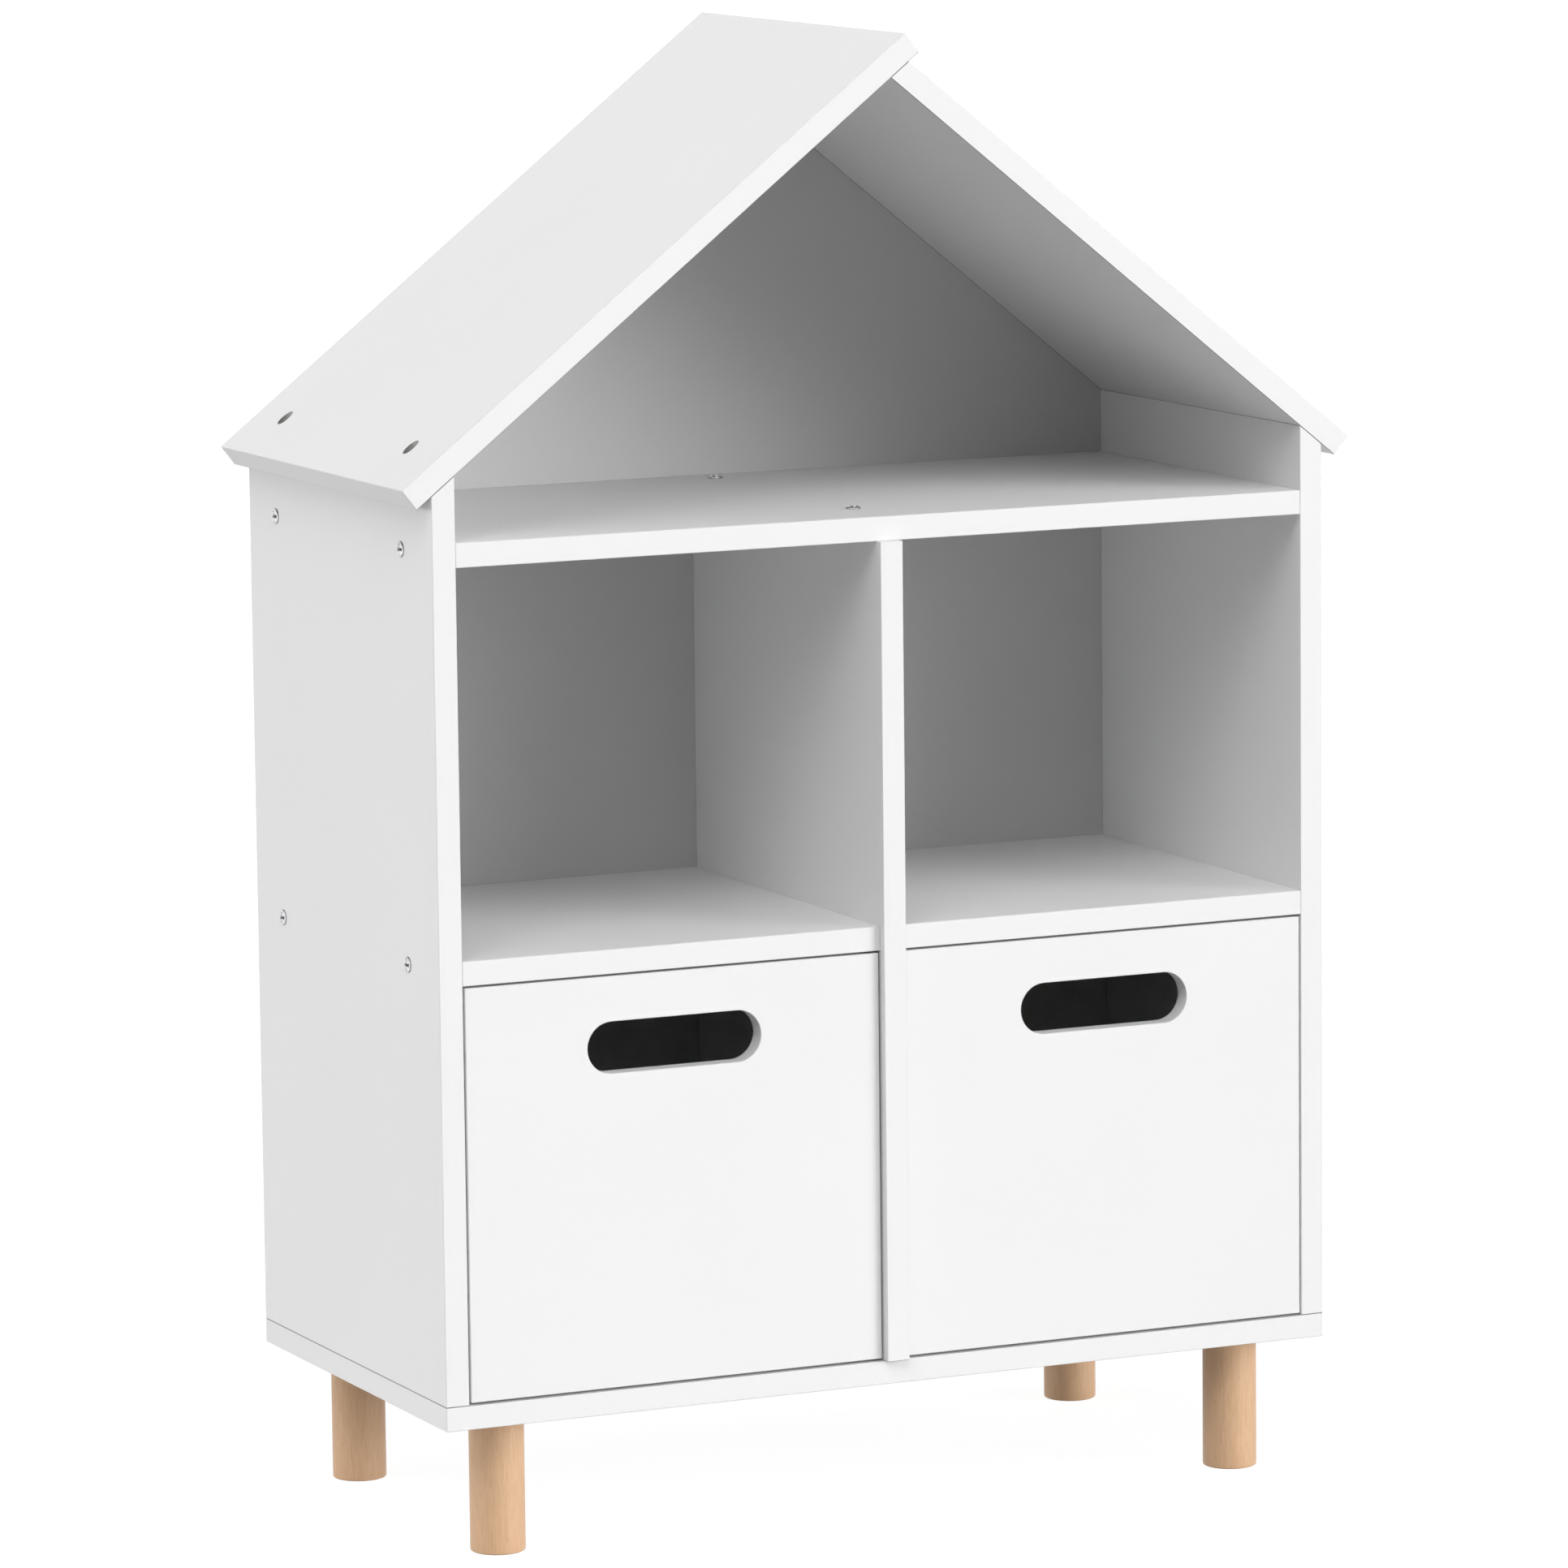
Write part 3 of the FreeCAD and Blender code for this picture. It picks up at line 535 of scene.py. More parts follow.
def joined(skins: Iterable[Skin]) -> Skin:
    """Several skins as one, each still closed by itself.

    Args:
        skins: at least one skin.

    Returns:
        One skin with all points and faces.
    """
    parts = list(skins)
    starts = np.cumsum([0] + [len(part.points) for part in parts[:-1]])
    return Skin(
        np.concatenate([part.points for part in parts]),
        np.concatenate([part.quads + start for part, start in zip(parts, starts)]),
        np.concatenate([part.triangles + start for part, start in zip(parts, starts)]),
    )


def wrapped_quads(rows: int, columns: int, first: int = 0) -> np.ndarray:
    """Quads of a grid whose columns close on themselves.

    The quad at (i, j) has the corners (i, j), (i, j + 1), (i + 1, j + 1) and (i + 1, j), where column
    numbers wrap round and point (i, j) has the number first + i * columns + j.

    Args:
        rows: rows of points.
        columns: columns of points.
        first: number of the first point.

    Returns:
        An array of shape ((rows - 1) * columns, 4).
    """
    i, j = np.meshgrid(np.arange(rows - 1), np.arange(columns), indexing="ij")
    after = (j + 1) % columns
    corners = [i * columns + j, i * columns + after, (i + 1) * columns + after, (i + 1) * columns + j]
    return np.stack(corners, axis=-1).reshape(-1, 4) + first


def fan(centre: int, ring_start: int, columns: int, reverse: bool) -> np.ndarray:
    """Triangles from one point to every side of a ring.

    Args:
        centre: number of the point.
        ring_start: number of the ring's first point.
        columns: points in the ring.
        reverse: whether the triangles go round the other way.

    Returns:
        An array of shape (columns, 3).
    """
    ring = ring_start + np.arange(columns)
    after = ring_start + (np.arange(columns) + 1) % columns
    pair = (after, ring) if reverse else (ring, after)
    return np.stack([np.full(columns, centre), *pair], axis=-1)


def capped(grid: np.ndarray) -> Skin:
    """Closes a wrapped grid with a point on the axis at each end.

    Args:
        grid: points of shape (rows, columns, 3), from one end to the other.

    Returns:
        A closed skin that points out.
    """
    rows, columns = grid.shape[:2]
    points = np.concatenate([grid.reshape(-1, 3), grid[0].mean(0)[None], grid[-1].mean(0)[None]])
    last_ring = (rows - 1) * columns
    triangles = np.concatenate([
        fan(rows * columns, 0, columns, reverse=True),
        fan(rows * columns + 1, last_ring, columns, reverse=False),
    ])
    return Skin(points, wrapped_quads(rows, columns), triangles).outward()


def turns(columns: int) -> np.ndarray:
    """Evenly spaced angles round a circle."""
    return np.arange(columns) * (2.0 * math.pi / columns)


def round_grid(radius: np.ndarray, height: np.ndarray, columns: int) -> np.ndarray:
    """Carries a profile round the Z axis.

    A point is (r cos a, r sin a, z), where r and z depend on the station and may depend on the angle a.

    Args:
        radius: radii of shape (rows,) or (rows, columns).
        height: heights of the same shape.
        columns: points round the axis.

    Returns:
        Points of shape (rows, columns, 3).
    """
    angle = turns(columns)[None, :]
    radius = np.broadcast_to(radius.reshape(len(radius), -1), (len(radius), columns))
    height = np.broadcast_to(height.reshape(len(height), -1), (len(height), columns))
    return np.stack([radius * np.cos(angle), radius * np.sin(angle), height], axis=-1)


def thread_wave(height: np.ndarray, columns: int, pitch: float, fullness: float) -> np.ndarray:
    """The relief of a screw thread, from 0 in its root to 1 on its crest.

    The phase at height z and angle a is the fraction of z / pitch - a / (2 pi), and the wave falls
    in a straight line from the crest at one half, with flat roots between.

    Args:
        height: heights of the stations.
        columns: points round the axis.
        pitch: from crest to crest.
        fullness: share of the pitch that the ridge takes.

    Returns:
        Values of shape (rows, columns).
    """
    phase = (height[:, None] / pitch - turns(columns)[None, :] / (2.0 * math.pi)) % 1.0
    return np.clip(1.0 - np.abs(phase - 0.5) * 2.0 / fullness, 0.0, 1.0)


def stitched(fine_start: int, coarse_start: int, coarse: int, ratio: int) -> np.ndarray:
    """Triangles between a fine ring and a coarse one, with so many fine sides to each coarse side.

    Each coarse corner fans to the fine sides in the half nearer to it, and one triangle in the
    middle joins the two coarse corners.

    Args:
        fine_start: number of the fine ring's first point.
        coarse_start: number of the coarse ring's first point.
        coarse: points in the coarse ring.
        ratio: fine sides to a coarse side, an even number.

    Returns:
        An array of triangles.
    """
    corner = np.arange(coarse)
    after = coarse_start + (corner + 1) % coarse
    half = ratio // 2
    found = []
    for step in range(ratio):
        owner = coarse_start + corner if step < half else after
        near = fine_start + (corner * ratio + step) % (coarse * ratio)
        far = fine_start + (corner * ratio + step + 1) % (coarse * ratio)
        found.append(np.stack([owner, near, far], axis=-1))
    middle = fine_start + corner * ratio + half
    found.append(np.stack([coarse_start + corner, middle, after], axis=-1))
    return np.concatenate(found)


def make_piece(name: str, skin: Skin, slot: Slot, body: str, nodes: Sequence[str]) -> None:
    """Makes one Blender piece at the origin that stands for CAD nodes.

    Args:
        name: the piece's name.
        skin: its closed skin in the row frame.
        slot: the record's slot that it takes its finish from.
        body: the CAD body that it rides on.
        nodes: CAD nodes that it replaces.
    """
    mesh = bpy.data.meshes.new(name)
    mesh.from_pydata(skin.points.tolist(), [], skin.quads.tolist() + skin.triangles.tolist())
    mesh.update()
    mesh.shade_smooth()
    mesh.set_sharp_from_angle(angle=math.radians(SHARP_ANGLE))
    mesh.materials.append(PALETTE.material(slot))
    piece = bpy.data.objects.new(name, mesh)
    bpy.context.scene.collection.objects.link(piece)
    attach(piece, body)
    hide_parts(*nodes)
    log.info("%s: %d faces on %s, for %s", name, len(mesh.polygons), body, ", ".join(nodes))


# ----------------------------------------------------------------------- what the frame tells us
def solids_of(node: str) -> list[np.ndarray]:
    """The separate solids of a CAD node.

    Points that agree to a micrometre are one, and every triangle gives its corners the lowest label
    among them until no label changes.

    Args:
        node: name of the CAD node.

    Returns:
        The different points of each solid, as arrays of shape (n, 3).
    """
    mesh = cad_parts[node].data
    co = np.empty(len(mesh.vertices) * 3, np.float32)
    mesh.vertices.foreach_get("co", co)
    mesh.calc_loop_triangles()
    corners = np.empty(len(mesh.loop_triangles) * 3, np.int32)
    mesh.loop_triangles.foreach_get("vertices", corners)
    rounded = np.round(co.reshape(-1, 3).astype(float), 6)
    points, same = np.unique(rounded, axis=0, return_inverse=True)
    triangles = same.reshape(-1)[corners].reshape(-1, 3)
    label = np.arange(len(points))
    while True:
        lowest = np.repeat(label[triangles].min(axis=1), 3)
        new = label.copy()
        np.minimum.at(new, triangles.reshape(-1), lowest)
        if np.array_equal(new, label):
            break
        label = new
    return [points[label == value] for value in np.unique(label)]


@dataclass(frozen=True)
class Seat:
    """A plane in which boards touch: its normal and its distance from the origin along it."""

    normal: tuple[float, float, float]
    offset: float

    @classmethod
    def under(cls, node: str) -> "Seat":
        """The plane of a board's largest face that looks down."""
        face = max(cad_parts[node].data.polygons, key=lambda face: -face.normal.z * face.area)
        return cls(tuple(face.normal), face.center.dot(face.normal))

    @classmethod
    def over(cls, node: str) -> "Seat":
        """The plane of a board's largest face that looks up."""
        face = max(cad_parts[node].data.polygons, key=lambda face: face.normal.z * face.area)
        return cls(tuple(face.normal), face.center.dot(face.normal))

    def crossing_width(self, other: "Seat") -> float:
        """Where two planes that run from front to back cross, as a place across the width."""
        normals = np.array([self.normal, other.normal])[:, [0, 2]]
        return float(np.linalg.solve(normals, np.array([self.offset, other.offset]))[0])

    def line(self, bench: NodeBench, place: Socket, half: float) -> Socket:
        """The line that the plane draws on the faces that cross it.

        Args:
            bench: a material's node bench.
            place: Object coordinates.
            half: half the line's width.

        Returns:
            1 on the line and 0 elsewhere, also on faces that lie along the plane.
        """
        height = bench.vector_maths("DOT_PRODUCT", place, self.normal, "Value")
        near = bench.compare(height, self.offset, half)
        faced = bench.add("ShaderNodeNewGeometry").outputs["True Normal"]
        lean = bench.vector_maths("DOT_PRODUCT", faced, self.normal, "Value")
        return bench.maths("MULTIPLY", near, bench.compare(lean, 0.0, CROSSING_LEAN))


@dataclass(frozen=True)
class Fixing:
    """A round fastener as the CAD model places it: from the wider end's face, along its axis."""

    start: Vector
    direction: Vector
    length: float
    radius: float
    crown: float

    @classmethod
    def measured(cls, points: np.ndarray) -> "Fixing":
        """Measures a solid of rings about one axis.

        The axis is the direction in which the points spread most, and the fastener starts at its
        wider end. A domed head is widest a little further on, by the height of its crown.

        Args:
            points: the solid's points.

        Returns:
            The fixing.
        """
        centre = points.mean(axis=0)
        axis = np.linalg.svd(points - centre, full_matrices=False)[2][0]
        if axis[np.argmax(np.abs(axis))] < 0.0:
            axis = -axis
        along = (points - centre) @ axis
        away = np.linalg.norm(points - centre - along[:, None] * axis, axis=1)
        near = away[along < along.min() + HAIR].max()
        far = away[along > along.max() - HAIR].max()
        if far > near + HAIR:
            axis, along = -axis, -along
        start = centre + axis * along.min()
        widest = along[away > away.max() - HAIR].min()
        return cls(Vector(start), Vector(axis), float(along.max() - along.min()), float(away.max()),
                   float(widest - along.min()))


def fixings_of(node: str) -> list[Fixing]:
    """Every fastener of a CAD node, in order of height, depth and width."""
    found = [Fixing.measured(points) for points in solids_of(node)]
    return sorted(found, key=lambda fixing: tuple(round(value, 5) for value in reversed(fixing.start)))


# --------------------------------------------------------------------------------- sub-assemblies
@dataclass
class CrossHeadScrews:
    """Countersunk wood screws with a cross recess, one piece for each CAD group."""

    body: str
    nodes: Sequence[str]
    head_columns: int = 96
    shank_columns: int = 24
    stations_per_pitch: int = 6
    head_share: float = 0.995
    shank_share: float = 0.46
    core_share: float = 0.66
    pitch_share: float = 0.43
    recess_share: float = 0.78
    recess_rings: int = 24
    wing_share: float = 0.19
    recess_depth_share: float = 0.60
    recess_floor_slope: float = 1.7
    wall_slope: float = 5.0
    cone_share: float = 1.9  # of a wing's half width
    dome_share: float = 1.7
    dome_power: int = 4
    rim_rings: Sequence[float] = (0.72, 0.80, 0.86, 0.90, 0.925, 0.95, 1.0)
    rim_share: float = 0.86
    rim_end_share: float = 0.95
    rim_drop: float = 1.1 * MM
    land_share: float = 0.03
    thread_fullness: float = 0.7
    thread_start: float = 2.0  # pitches under the head at which the thread starts to grow
    point_pitches: float = 2.2
    point_power: float = 0.8
    blunt_share: float = 0.02

    def recess(self, radius: np.ndarray, angle: np.ndarray, head: float) -> np.ndarray:
        """Depth of the cross recess under the head's face.

        In a quarter turn the wing lies along u = r cos a with w = r |sin a| beside it. Its floor
        rises in a straight line from the middle to the wing's end, its walls fall steeply from the
        wing's half width, and a cone at the middle joins the four wings.

        Args:
            radius: distances from the axis.
            angle: angles about it.
            head: the head's radius.

        Returns:
            Depths of the same shape, 0 outside the recess.
        """
        quarter = (angle + math.pi / 4) % (math.pi / 2) - math.pi / 4
        along, beside = radius * np.cos(quarter), radius * np.abs(np.sin(quarter))
        reach = head * self.recess_share
        deepest = head * self.recess_depth_share
        floor = deepest * np.clip(1.0 - along / reach, 0.0, 1.0) * self.recess_floor_slope
        walls = (head * self.wing_share - beside) * self.wall_slope
        cone = (head * self.wing_share * self.cone_share - radius) * self.wall_slope
        wings = np.minimum(np.minimum(floor, walls), deepest)
        return np.clip(np.maximum(wings, np.minimum(cone, deepest)), 0.0, None)

    def head_grid(self, head: float, shank: float, crown: float) -> np.ndarray:
        """Points of the head: its recessed and domed face, its rim and its cone.

        The face lies at full * (r / head) ** power under the dome's top, where full is the crown
        times the dome's share, so that it would meet the board at the head's radius. Near the rim it
        turns down in a straight line, into the countersink.

        Args:
            head: the head's radius.
            shank: radius at which the cone ends.
            crown: height of the dome, 0 for a flat head.

        Returns:
            Points of shape (rows, head_columns, 3).
        """
        recess_radii = head * self.recess_share * np.linspace(0.04, 1.04, self.recess_rings)
        rim = head * np.array(self.rim_rings)
        radius = np.concatenate([recess_radii, rim])
        spread = np.broadcast_to(radius[:, None], (len(radius), self.head_columns))
        angle = np.broadcast_to(turns(self.head_columns)[None, :], spread.shape)
        full = crown * self.dome_share
        dome = full * (spread / head) ** self.dome_power - (full - crown)
        height = self.recess(spread, angle, head) + dome
        turned = (spread / head - self.rim_share) / (self.rim_end_share - self.rim_share)
        height = height + self.rim_drop * np.clip(turned, 0.0, 1.0)
        land = crown + self.rim_drop + head * self.land_share
        cone_radius = np.array([head, shank])
        cone_height = np.array([land, land + head - shank])
        face = round_grid(spread, height, self.head_columns)
        return np.concatenate([face, round_grid(cone_radius, cone_height, self.head_columns)])

    def shank_grid(self, core: float, crest: float, start: float, length: float,
                   pitch: float) -> np.ndarray:
        """Points of the threaded shank and its pointed end.

        The radius is the core plus the thread's wave times a share that grows over one pitch, and
        both shrink to a blunt point over the last pitches, as a power of what is left of the length.

        Args:
            core: radius in the thread's root.
            crest: radius on its crest.
            start: where the cone of the head ends.
            length: the whole screw's length.
            pitch: from crest to crest.

        Returns:
            Points of shape (rows, shank_columns, 3).
        """
        rows = int((length - start) / pitch * self.stations_per_pitch)
        height = np.linspace(start + 0.25 * pitch, length - 0.02 * pitch, rows)
        grown = np.clip((height - start - self.thread_start * pitch) / pitch, 0.0, 1.0)
        left = np.clip((length - height) / (self.point_pitches * pitch), self.blunt_share, 1.0)
        pointed = left ** self.point_power
        wave = thread_wave(height, self.shank_columns, pitch, self.thread_fullness)
        radius = (core + (crest - core) * wave * grown[:, None]) * pointed[:, None]
        return round_grid(radius, np.broadcast_to(height[:, None], radius.shape), self.shank_columns)

    def screw(self, fixing: Fixing) -> Skin:
        """One whole screw along its own +Z, with the top of the CAD head at z = 0.

        Args:
            fixing: the screw as the CAD model has it.

        Returns:
            A closed skin.
        """
        head = fixing.radius * self.head_share
        shank = fixing.radius * self.shank_share
        core = shank * self.core_share
        pitch = fixing.radius * self.pitch_share
        face = self.head_grid(head, core, fixing.crown)
        start = float(face[-1, 0, 2])
        thread = self.shank_grid(core, shank, start, fixing.length, pitch)
        fine, coarse = self.head_columns, self.shank_columns
        thread_first = face.shape[0] * fine
        centre = thread_first + thread.shape[0] * coarse
        points = np.concatenate([face.reshape(-1, 3), thread.reshape(-1, 3),
                                 face[0].mean(0)[None], thread[-1].mean(0)[None]])
        quads = np.concatenate([wrapped_quads(face.shape[0], fine),
                                wrapped_quads(thread.shape[0], coarse, thread_first)])
        seam = stitched(thread_first - fine, thread_first, coarse, fine // coarse)
        triangles = np.concatenate([
            fan(centre, 0, fine, reverse=True),
            seam[:, ::-1],
            fan(centre + 1, centre - coarse, coarse, reverse=False),
        ])
        return Skin(points, quads, triangles).outward()

    def build(self) -> None:
        """Makes a piece for each group, with one wing of every cross upright."""
        for node in self.nodes:
            found = fixings_of(node)
            skins = [self.screw(fixing).placed(fixing.start, fixing.direction) for fixing in found]
            make_piece("cross_head_" + node, joined(skins), Slot.SCREW, self.body, [node])


@dataclass
class FlutedDowels:
    """Beech pegs with straight glue flutes and eased ends."""

    body: str
    nodes: Sequence[str]
    flutes: int = 20
    columns: int = 120
    flute_share: float = 0.05
    fit_share: float = 0.95
    ease: float = 0.8 * MM
    ease_slope: float = 0.6
    rings: int = 7

    def peg(self, fixing: Fixing) -> Skin:
        """One peg along its own +Z.

        The radius is the peg's own, less a flute depth times the square of the half-wave
        sin(flutes a / 2), and it shrinks in a straight line over the eased ends.

        Args:
            fixing: the peg as the CAD model has it.

        Returns:
            A closed skin.
        """
        inner, outer = self.ease, fixing.length - self.ease
        height = np.concatenate([[0.0], np.linspace(inner, outer, self.rings), [fixing.length]])
        radius = np.full(len(height), fixing.radius * self.fit_share)
        radius[[0, -1]] -= self.ease * self.ease_slope
        flute = np.sin(turns(self.columns) * self.flutes / 2.0) ** 2
        cut = np.ones(len(height))
        cut[[0, -1]] = 0.0
        grooved = radius[:, None] * (1.0 - self.flute_share * flute[None, :] * cut[:, None])
        return capped(round_grid(grooved, np.broadcast_to(height[:, None], grooved.shape), self.columns))

    def build(self) -> None:
        """Makes a piece for each group."""
        for node in self.nodes:
            found = fixings_of(node)
            skins = [self.peg(fixing).placed(fixing.start, fixing.direction) for fixing in found]
            make_piece("fluted_" + node, joined(skins), Slot.DOWEL, self.body, [node])


@dataclass
class HangerBolts:
    """Double ended bolts: a coarse wood thread in the leg and a fine machine thread in the base."""

    node: str = "leg_hanger_bolts"
    body: str = "carcass"
    columns: int = 32
    in_leg: float = 30.0 * MM
    plain: float = 3.0 * MM
    wood_pitch: float = 3.0 * MM
    wood_fullness: float = 0.6
    machine_pitch: float = 1.25 * MM
    machine_fullness: float = 1.0
    stations_per_pitch: int = 6
    crest_share: float = 0.94
    root_share: float = 0.76
    point_length: float = 5.0 * MM
    point_start: float = 1.0 * MM
    point_share: float = 0.2
    end_share: float = 0.85

    def bolt(self, fixing: Fixing) -> Skin:
        """One bolt along its own +Z, with its wood thread first.

        Below the plain collar the radius follows the coarse wave and closes to a blunt point, and
        above it the fine one.

        Args:
            fixing: the bolt as the CAD model has it.

        Returns:
            A closed skin.
        """
        rows = int(fixing.length / self.machine_pitch * self.stations_per_pitch)
        height = np.linspace(0.0, fixing.length, rows)
        crest, root = fixing.radius * self.crest_share, fixing.radius * self.root_share
        coarse = thread_wave(height, self.columns, self.wood_pitch, self.wood_fullness)
        fine = thread_wave(height, self.columns, self.machine_pitch, self.machine_fullness)
        in_wood = (height < self.in_leg - self.plain)[:, None]
        in_insert = (height > self.in_leg)[:, None]
        wave = np.where(in_wood, coarse, np.where(in_insert, fine, 1.0))
        radius = root + (crest - root) * wave
        radius *= np.clip((height + self.point_start) / self.point_length, self.point_share, 1.0)[:, None]
        radius[-1] *= self.end_share
        return capped(round_grid(radius, np.broadcast_to(height[:, None], radius.shape), self.columns))

    def build(self) -> None:
        """Makes all the bolts as one piece."""
        skins = []
        for fixing in fixings_of(self.node):
            upright = fixing.direction.z > 0.0
            start = fixing.start if upright else fixing.start + fixing.direction * fixing.length
            skins.append(self.bolt(fixing).placed(start, Vector((0.0, 0.0, 1.0))))
        make_piece("threaded_" + self.node, joined(skins), Slot.BOLT, self.body, [self.node])


@dataclass
class ThreadedInserts:
    """Flanged sleeves in the base, with a coarse thread outside."""

    node: str = "leg_threaded_inserts"
    body: str = "carcass"
    columns: int = 48
    flange: float = 1.5 * MM
    flange_share: float = 0.95
    flange_ease: float = 0.3 * MM
    flange_ease_share: float = 0.97
    bore_radius: float = 4.05 * MM
    sleeve_share: float = 0.69
    pitch: float = 2.5 * MM
    thread_fullness: float = 0.7
    thread_depth: float = 0.07
    rings: int = 28

    def sleeve(self, low: Vector, high: Vector) -> Skin:
        """One sleeve: a ring of stations that runs up its outside and back down its bore.

        The outside's radius is the sleeve's own, less a depth that the thread's wave gives back.

        Args:
            low: lowest corner of the CAD sleeve's box.
            high: its highest corner.

        Returns:
            A closed skin in the row frame.
        """
        height = high.z - low.z
        wide = self.flange_share * (high.y - low.y) / 2.0
        outside = np.linspace(self.flange, height, self.rings)
        wave = thread_wave(outside, self.columns, self.pitch, self.thread_fullness)
        threaded = wide * self.sleeve_share * (1.0 - self.thread_depth * (1.0 - wave))
        rings = np.array([self.bore_radius, wide * self.flange_ease_share, wide, wide])
        below = np.repeat(rings[:, None], self.columns, axis=1)
        bore = np.full((2, self.columns), self.bore_radius)
        radius = np.concatenate([below, threaded, bore])
        station = np.concatenate([[0.0, 0.0, self.flange_ease, self.flange], outside, [height, 0.0]])
        grid = round_grid(radius, np.broadcast_to(station[:, None], radius.shape), self.columns)[:-1]
        rows = len(grid)
        quads = wrapped_quads(rows, self.columns)
        j = np.arange(self.columns)
        after = (j + 1) % self.columns
        last = (rows - 1) * self.columns
        closing = np.stack([last + j, last + after, after, j], axis=-1)
        middle = Vector(((low.x + high.x) / 2.0, (low.y + high.y) / 2.0, low.z))
        none = np.empty((0, 3), int)
        skin = Skin(grid.reshape(-1, 3), np.concatenate([quads, closing]), none).outward()
        return skin.placed(middle, Vector((0.0, 0.0, 1.0)))

    def build(self) -> None:
        """Makes all the sleeves as one piece."""
        found = solids_of(self.node)
        skins = [self.sleeve(Vector(points.min(axis=0)), Vector(points.max(axis=0))) for points in found]
        make_piece("flanged_" + self.node, joined(skins), Slot.BOLT, self.body, [self.node])


@dataclass
class RoundLegs:
    """Plain turned legs with a softened foot and a bore in the top for the bolt."""

    nodes: Sequence[str] = ("front_left_leg", "front_right_leg", "rear_left_leg", "rear_right_leg")
    body: str = "carcass"
    columns: int = 144
    foot_ease: float = 1.2 * MM
    foot_steps: int = 6
    sole_rings: Sequence[float] = (0.35, 0.8)
    bore_radius: float = 4.2 * MM
    bore_depth: float = 30.5 * MM
    wall_rows: int = 12

    def leg(self, node: str) -> Skin:
        """One leg: from the middle of its foot, up its wall, over its top and down its bore.

        The foot's ease is a quarter circle: r = R - e (1 - sin t) and z = e (1 - cos t), with t from
        0 to a right angle.

        Args:
            node: name of the leg's CAD node.

        Returns:
            A closed skin in the row frame.
        """
        low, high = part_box(node)
        wall = (high.x - low.x) / 2.0
        top = high.z
        t = np.linspace(0.0, math.pi / 2, self.foot_steps)
        foot_radius = wall - self.foot_ease * (1.0 - np.sin(t))
        foot_height = self.foot_ease * (1.0 - np.cos(t))
        up = np.linspace(self.foot_ease, top, self.wall_rows)[1:]
        radius = np.concatenate([wall * np.array(self.sole_rings), foot_radius, np.full(len(up), wall),
                                 [self.bore_radius, self.bore_radius]])
        height = np.concatenate([[0.0, 0.0], foot_height, up, [top, top - self.bore_depth]])
        skin = capped(round_grid(radius, height, self.columns))
        middle = Vector(((low.x + high.x) / 2.0, (low.y + high.y) / 2.0, 0.0))
        return skin.placed(middle, Vector((0.0, 0.0, 1.0)))

    def build(self) -> None:
        """Makes each leg as a piece."""
        for node in self.nodes:
            make_piece("turned_" + node, self.leg(node), Slot.LEG, self.body, [node])


@dataclass
class Carcass:
    """The fixed boards, with the screws, pegs, legs and leg fixings that hold and carry them."""

    body: str = "carcass"
    boards: Sequence[str] = (
        "base_board", "left_side_panel", "right_side_panel", "centre_divider", "top_shelf",
        "left_middle_shelf", "right_middle_shelf", "left_roof_panel", "right_roof_panel")
    backs: Sequence[str] = ("lower_back_panel", "attic_back_panel")
    screws: Sequence[str] = ("left_side_screws", "right_side_screws", "top_shelf_screws", "base_screws",
                             "left_roof_screws", "right_roof_screws")
    dowels: Sequence[str] = ("base_dowels", "middle_shelf_dowels", "ridge_dowels")

    def build(self) -> None:
        """Dresses the boards and makes everything that is fixed to them."""
        for board in self.boards:
            PALETTE.dress(board, Slot.BOARD)
        for back in self.backs:
            PALETTE.dress(back, Slot.THIN_BOARD)
        CrossHeadScrews(self.body, self.screws).build()
        FlutedDowels(self.body, self.dowels).build()
        HangerBolts().build()
        ThreadedInserts().build()
        RoundLegs().build()


@dataclass
class Drawer:
    """One slotted drawer: front, box and the fixings that hold it together."""

    side: Side
    boards: Sequence[str] = ("front", "left_side", "right_side", "back")

    def node(self, piece: str) -> str:
        """Name of one of the drawer's CAD nodes."""
        return f"{self.side.value}_drawer_{piece}"

    def build(self) -> None:
        """Dresses the boards and makes the fixings."""
        body = f"{self.side.value}_drawer"
        for board in self.boards:
            PALETTE.dress(self.node(board), Slot.DRAWER_BOARD)
        PALETTE.dress(self.node("bottom"), Slot.THIN_BOARD)
        CrossHeadScrews(body, [self.node("side_screws"), self.node("bottom_screws")]).build()
        FlutedDowels(body, [self.node("front_dowels")]).build()


# ----------------------------------------------------------------------------------------- studio
@dataclass(frozen=True)
class SoftLight:
    """A broad soft light in the surround: full in its middle and fading evenly round it."""

    azimuth: float  # degrees from straight in front of the bookcase, positive to its left
    elevation: float  # degrees over the floor
    strength: float  # radiance of its middle, where 1 is white
    focus: float = 24.0  # power of the cosine by which it fades

    def direction(self) -> tuple[float, float, float]:
        """Where the light stands, as a unit vector."""
        around, over = math.radians(self.azimuth), math.radians(self.elevation)
        return (-math.sin(around) * math.cos(over), -math.cos(around) * math.cos(over), math.sin(over))

    def radiance(self, bench: NodeBench, sight: Socket) -> Socket:
        """The light that comes from a direction: strength * max(cosine, 0) ** focus.

        Args:
            bench: the world's node bench.
            sight: the direction that is looked in.

        Returns:
            The radiance.
        """
        product = bench.vector_maths("DOT_PRODUCT", sight, self.direction(), "Value")
        cosine = bench.maths("MAXIMUM", product, 0.0)
        return bench.maths("MULTIPLY", bench.maths("POWER", cosine, self.focus), self.strength)


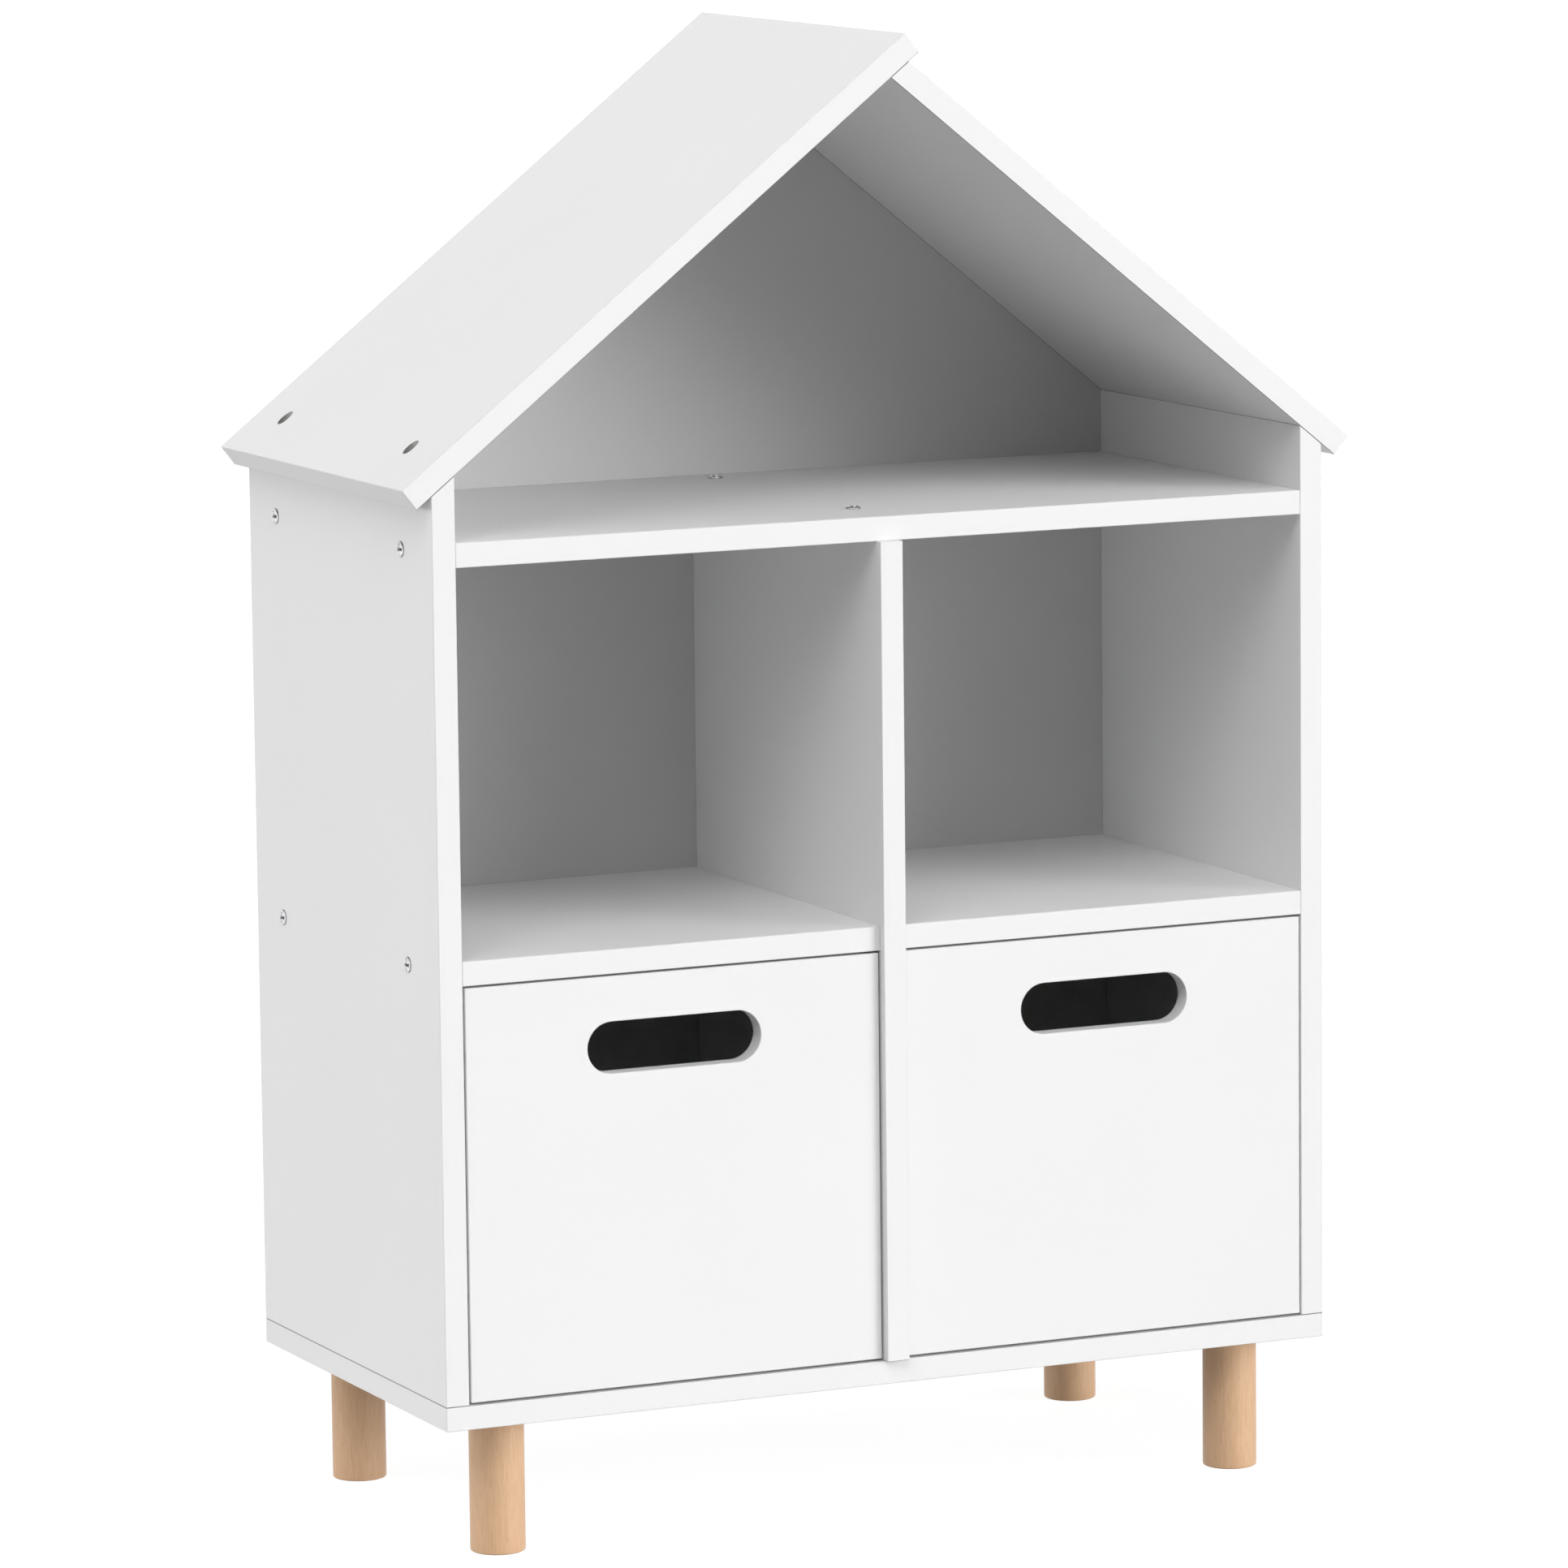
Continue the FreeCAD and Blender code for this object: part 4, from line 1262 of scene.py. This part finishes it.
@dataclass
class Studio:
    """A pale floor under a white surround, with soft lights in it."""

    floor_half: float = 40.0
    floor_level: float = 0.50
    floor_cloud: float = 0.01
    floor_cloud_scale: float = 3.0
    shadow_share: float = 0.16
    open_light: float = 0.4  # light on the floor from which on it is seen white
    lights: Sequence[SoftLight] = (
        SoftLight(azimuth=-45.0, elevation=4.0, strength=17.5),
        SoftLight(azimuth=110.0, elevation=4.0, strength=9.1),
        SoftLight(azimuth=25.0, elevation=46.0, strength=4.3),
        SoftLight(azimuth=50.0, elevation=46.0, strength=2.9),
        SoftLight(azimuth=90.0, elevation=68.0, strength=2.9),
        SoftLight(azimuth=205.0, elevation=0.0, strength=6.5),
    )

    def seen_directly(self, bench: NodeBench) -> Socket:
        """Tells what is seen from what is lit.

        Args:
            bench: a material's or the world's node bench.

        Returns:
            1 for what the camera sees, also in a mirror or through glass, and 0 for thrown light.
        """
        path = bench.add("ShaderNodeLightPath").outputs
        either = bench.maths("MAXIMUM", path["Is Camera Ray"], path["Is Glossy Ray"])
        return bench.maths("MAXIMUM", either, path["Is Transmission Ray"])

    def floor(self) -> None:
        """Lays the floor: pale to the light that it throws back, and white but for the shadow when seen."""
        material = bpy.data.materials.new("pale_studio_floor")
        bench = NodeBench(material)
        tone = bench.noise(bench.place(), self.floor_cloud_scale, detail=3.0)
        pale = bench.mix(tone, grey(self.floor_level - self.floor_cloud), grey(self.floor_level))
        thrown = bench.add("ShaderNodeBsdfDiffuse", {"Color": pale})
        shadowed = bench.add("ShaderNodeBsdfDiffuse", {"Color": grey(self.shadow_share)})
        strength = 1.0 - self.shadow_share * self.open_light
        glow = bench.add("ShaderNodeEmission", {"Color": grey(1.0), "Strength": strength})
        seen = bench.add("ShaderNodeAddShader", {0: shadowed.outputs[0], 1: glow.outputs[0]})
        both = bench.add("ShaderNodeMixShader", {0: self.seen_directly(bench), 1: thrown.outputs[0],
                                                 2: seen.outputs[0]})
        bench.add("ShaderNodeOutputMaterial", {"Surface": both.outputs[0]})
        half = self.floor_half
        corners = [(-half, -half, 0.0), (half, -half, 0.0), (half, half, 0.0), (-half, half, 0.0)]
        mesh = bpy.data.meshes.new("studio_floor")
        mesh.from_pydata(corners, [], [(0, 1, 2, 3)])
        mesh.materials.append(material)
        floor = bpy.data.objects.new("studio_floor", mesh)
        bpy.context.scene.collection.objects.link(floor)

    def world(self) -> None:
        """Surrounds the set: white when seen, and the soft lights otherwise."""
        world = bpy.data.worlds.new("white_surround")
        bpy.context.scene.world = world
        bench = NodeBench(world)
        seen = bench.add("ShaderNodeBackground", {"Color": grey(1.0), "Strength": 1.0})
        sight = bench.add("ShaderNodeTexCoord").outputs["Generated"]
        strength = self.lights[0].radiance(bench, sight)
        for light in self.lights[1:]:
            strength = bench.maths("ADD", strength, light.radiance(bench, sight))
        thrown = bench.add("ShaderNodeBackground", {"Color": grey(1.0), "Strength": strength})
        both = bench.add("ShaderNodeMixShader", {0: self.seen_directly(bench), 1: thrown.outputs[0],
                                                 2: seen.outputs[0]})
        bench.add("ShaderNodeOutputWorld", {"Surface": both.outputs[0]})

    def build(self) -> None:
        """Sets up floor, surround and the plain view of colours."""
        self.floor()
        self.world()
        bpy.context.scene.view_settings.view_transform = "Standard"


@dataclass(frozen=True)
class Viewpoint:
    """Where the camera stands and how it is turned."""

    place: tuple[float, float, float] = (-2.185315, -4.719519, 1.193345)
    yaw: float = 24.8085  # degrees to the right of straight ahead (+Y)
    pitch: float = 8.2345  # degrees down
    roll: float = -0.6234  # degrees about the line of sight
    lens_pixels: float = 10315.0  # focal length in pixels of the square image
    sensor: float = 36.0  # width of the film, in millimetres
    nearest: float = 0.1
    furthest: float = 100.0

    def axes(self) -> Matrix:
        """Works out how the camera is turned.

        Returns:
            Its right, up and backward directions, as the columns of a matrix.
        """
        yaw, pitch, roll = (math.radians(value) for value in (self.yaw, self.pitch, self.roll))
        ahead = Vector((math.sin(yaw) * math.cos(pitch), math.cos(yaw) * math.cos(pitch), -math.sin(pitch)))
        level = Vector((math.cos(yaw), -math.sin(yaw), 0.0))
        upright = level.cross(ahead)
        right = level * math.cos(roll) + upright * math.sin(roll)
        up = upright * math.cos(roll) - level * math.sin(roll)
        return Matrix((right, up, -ahead)).transposed()

    def build(self) -> None:
        """Makes the scene's camera."""
        lens = bpy.data.cameras.new("viewpoint")
        lens.sensor_width = self.sensor
        lens.lens = self.lens_pixels / IMAGE_SIDE * self.sensor
        lens.clip_start = self.nearest
        lens.clip_end = self.furthest
        camera = bpy.data.objects.new("viewpoint", lens)
        bpy.context.scene.collection.objects.link(camera)
        camera.matrix_world = Matrix.Translation(self.place) @ self.axes().to_4x4()
        bpy.context.scene.camera = camera


def main() -> None:
    """Builds the camera, the studio and every sub-assembly, in order."""
    logging.basicConfig(level=logging.INFO, format="%(name)s: %(message)s")
    Viewpoint().build()
    Studio().build()
    Carcass().build()
    for side in Side:
        Drawer(side).build()


if __name__ == "__main__":
    main()
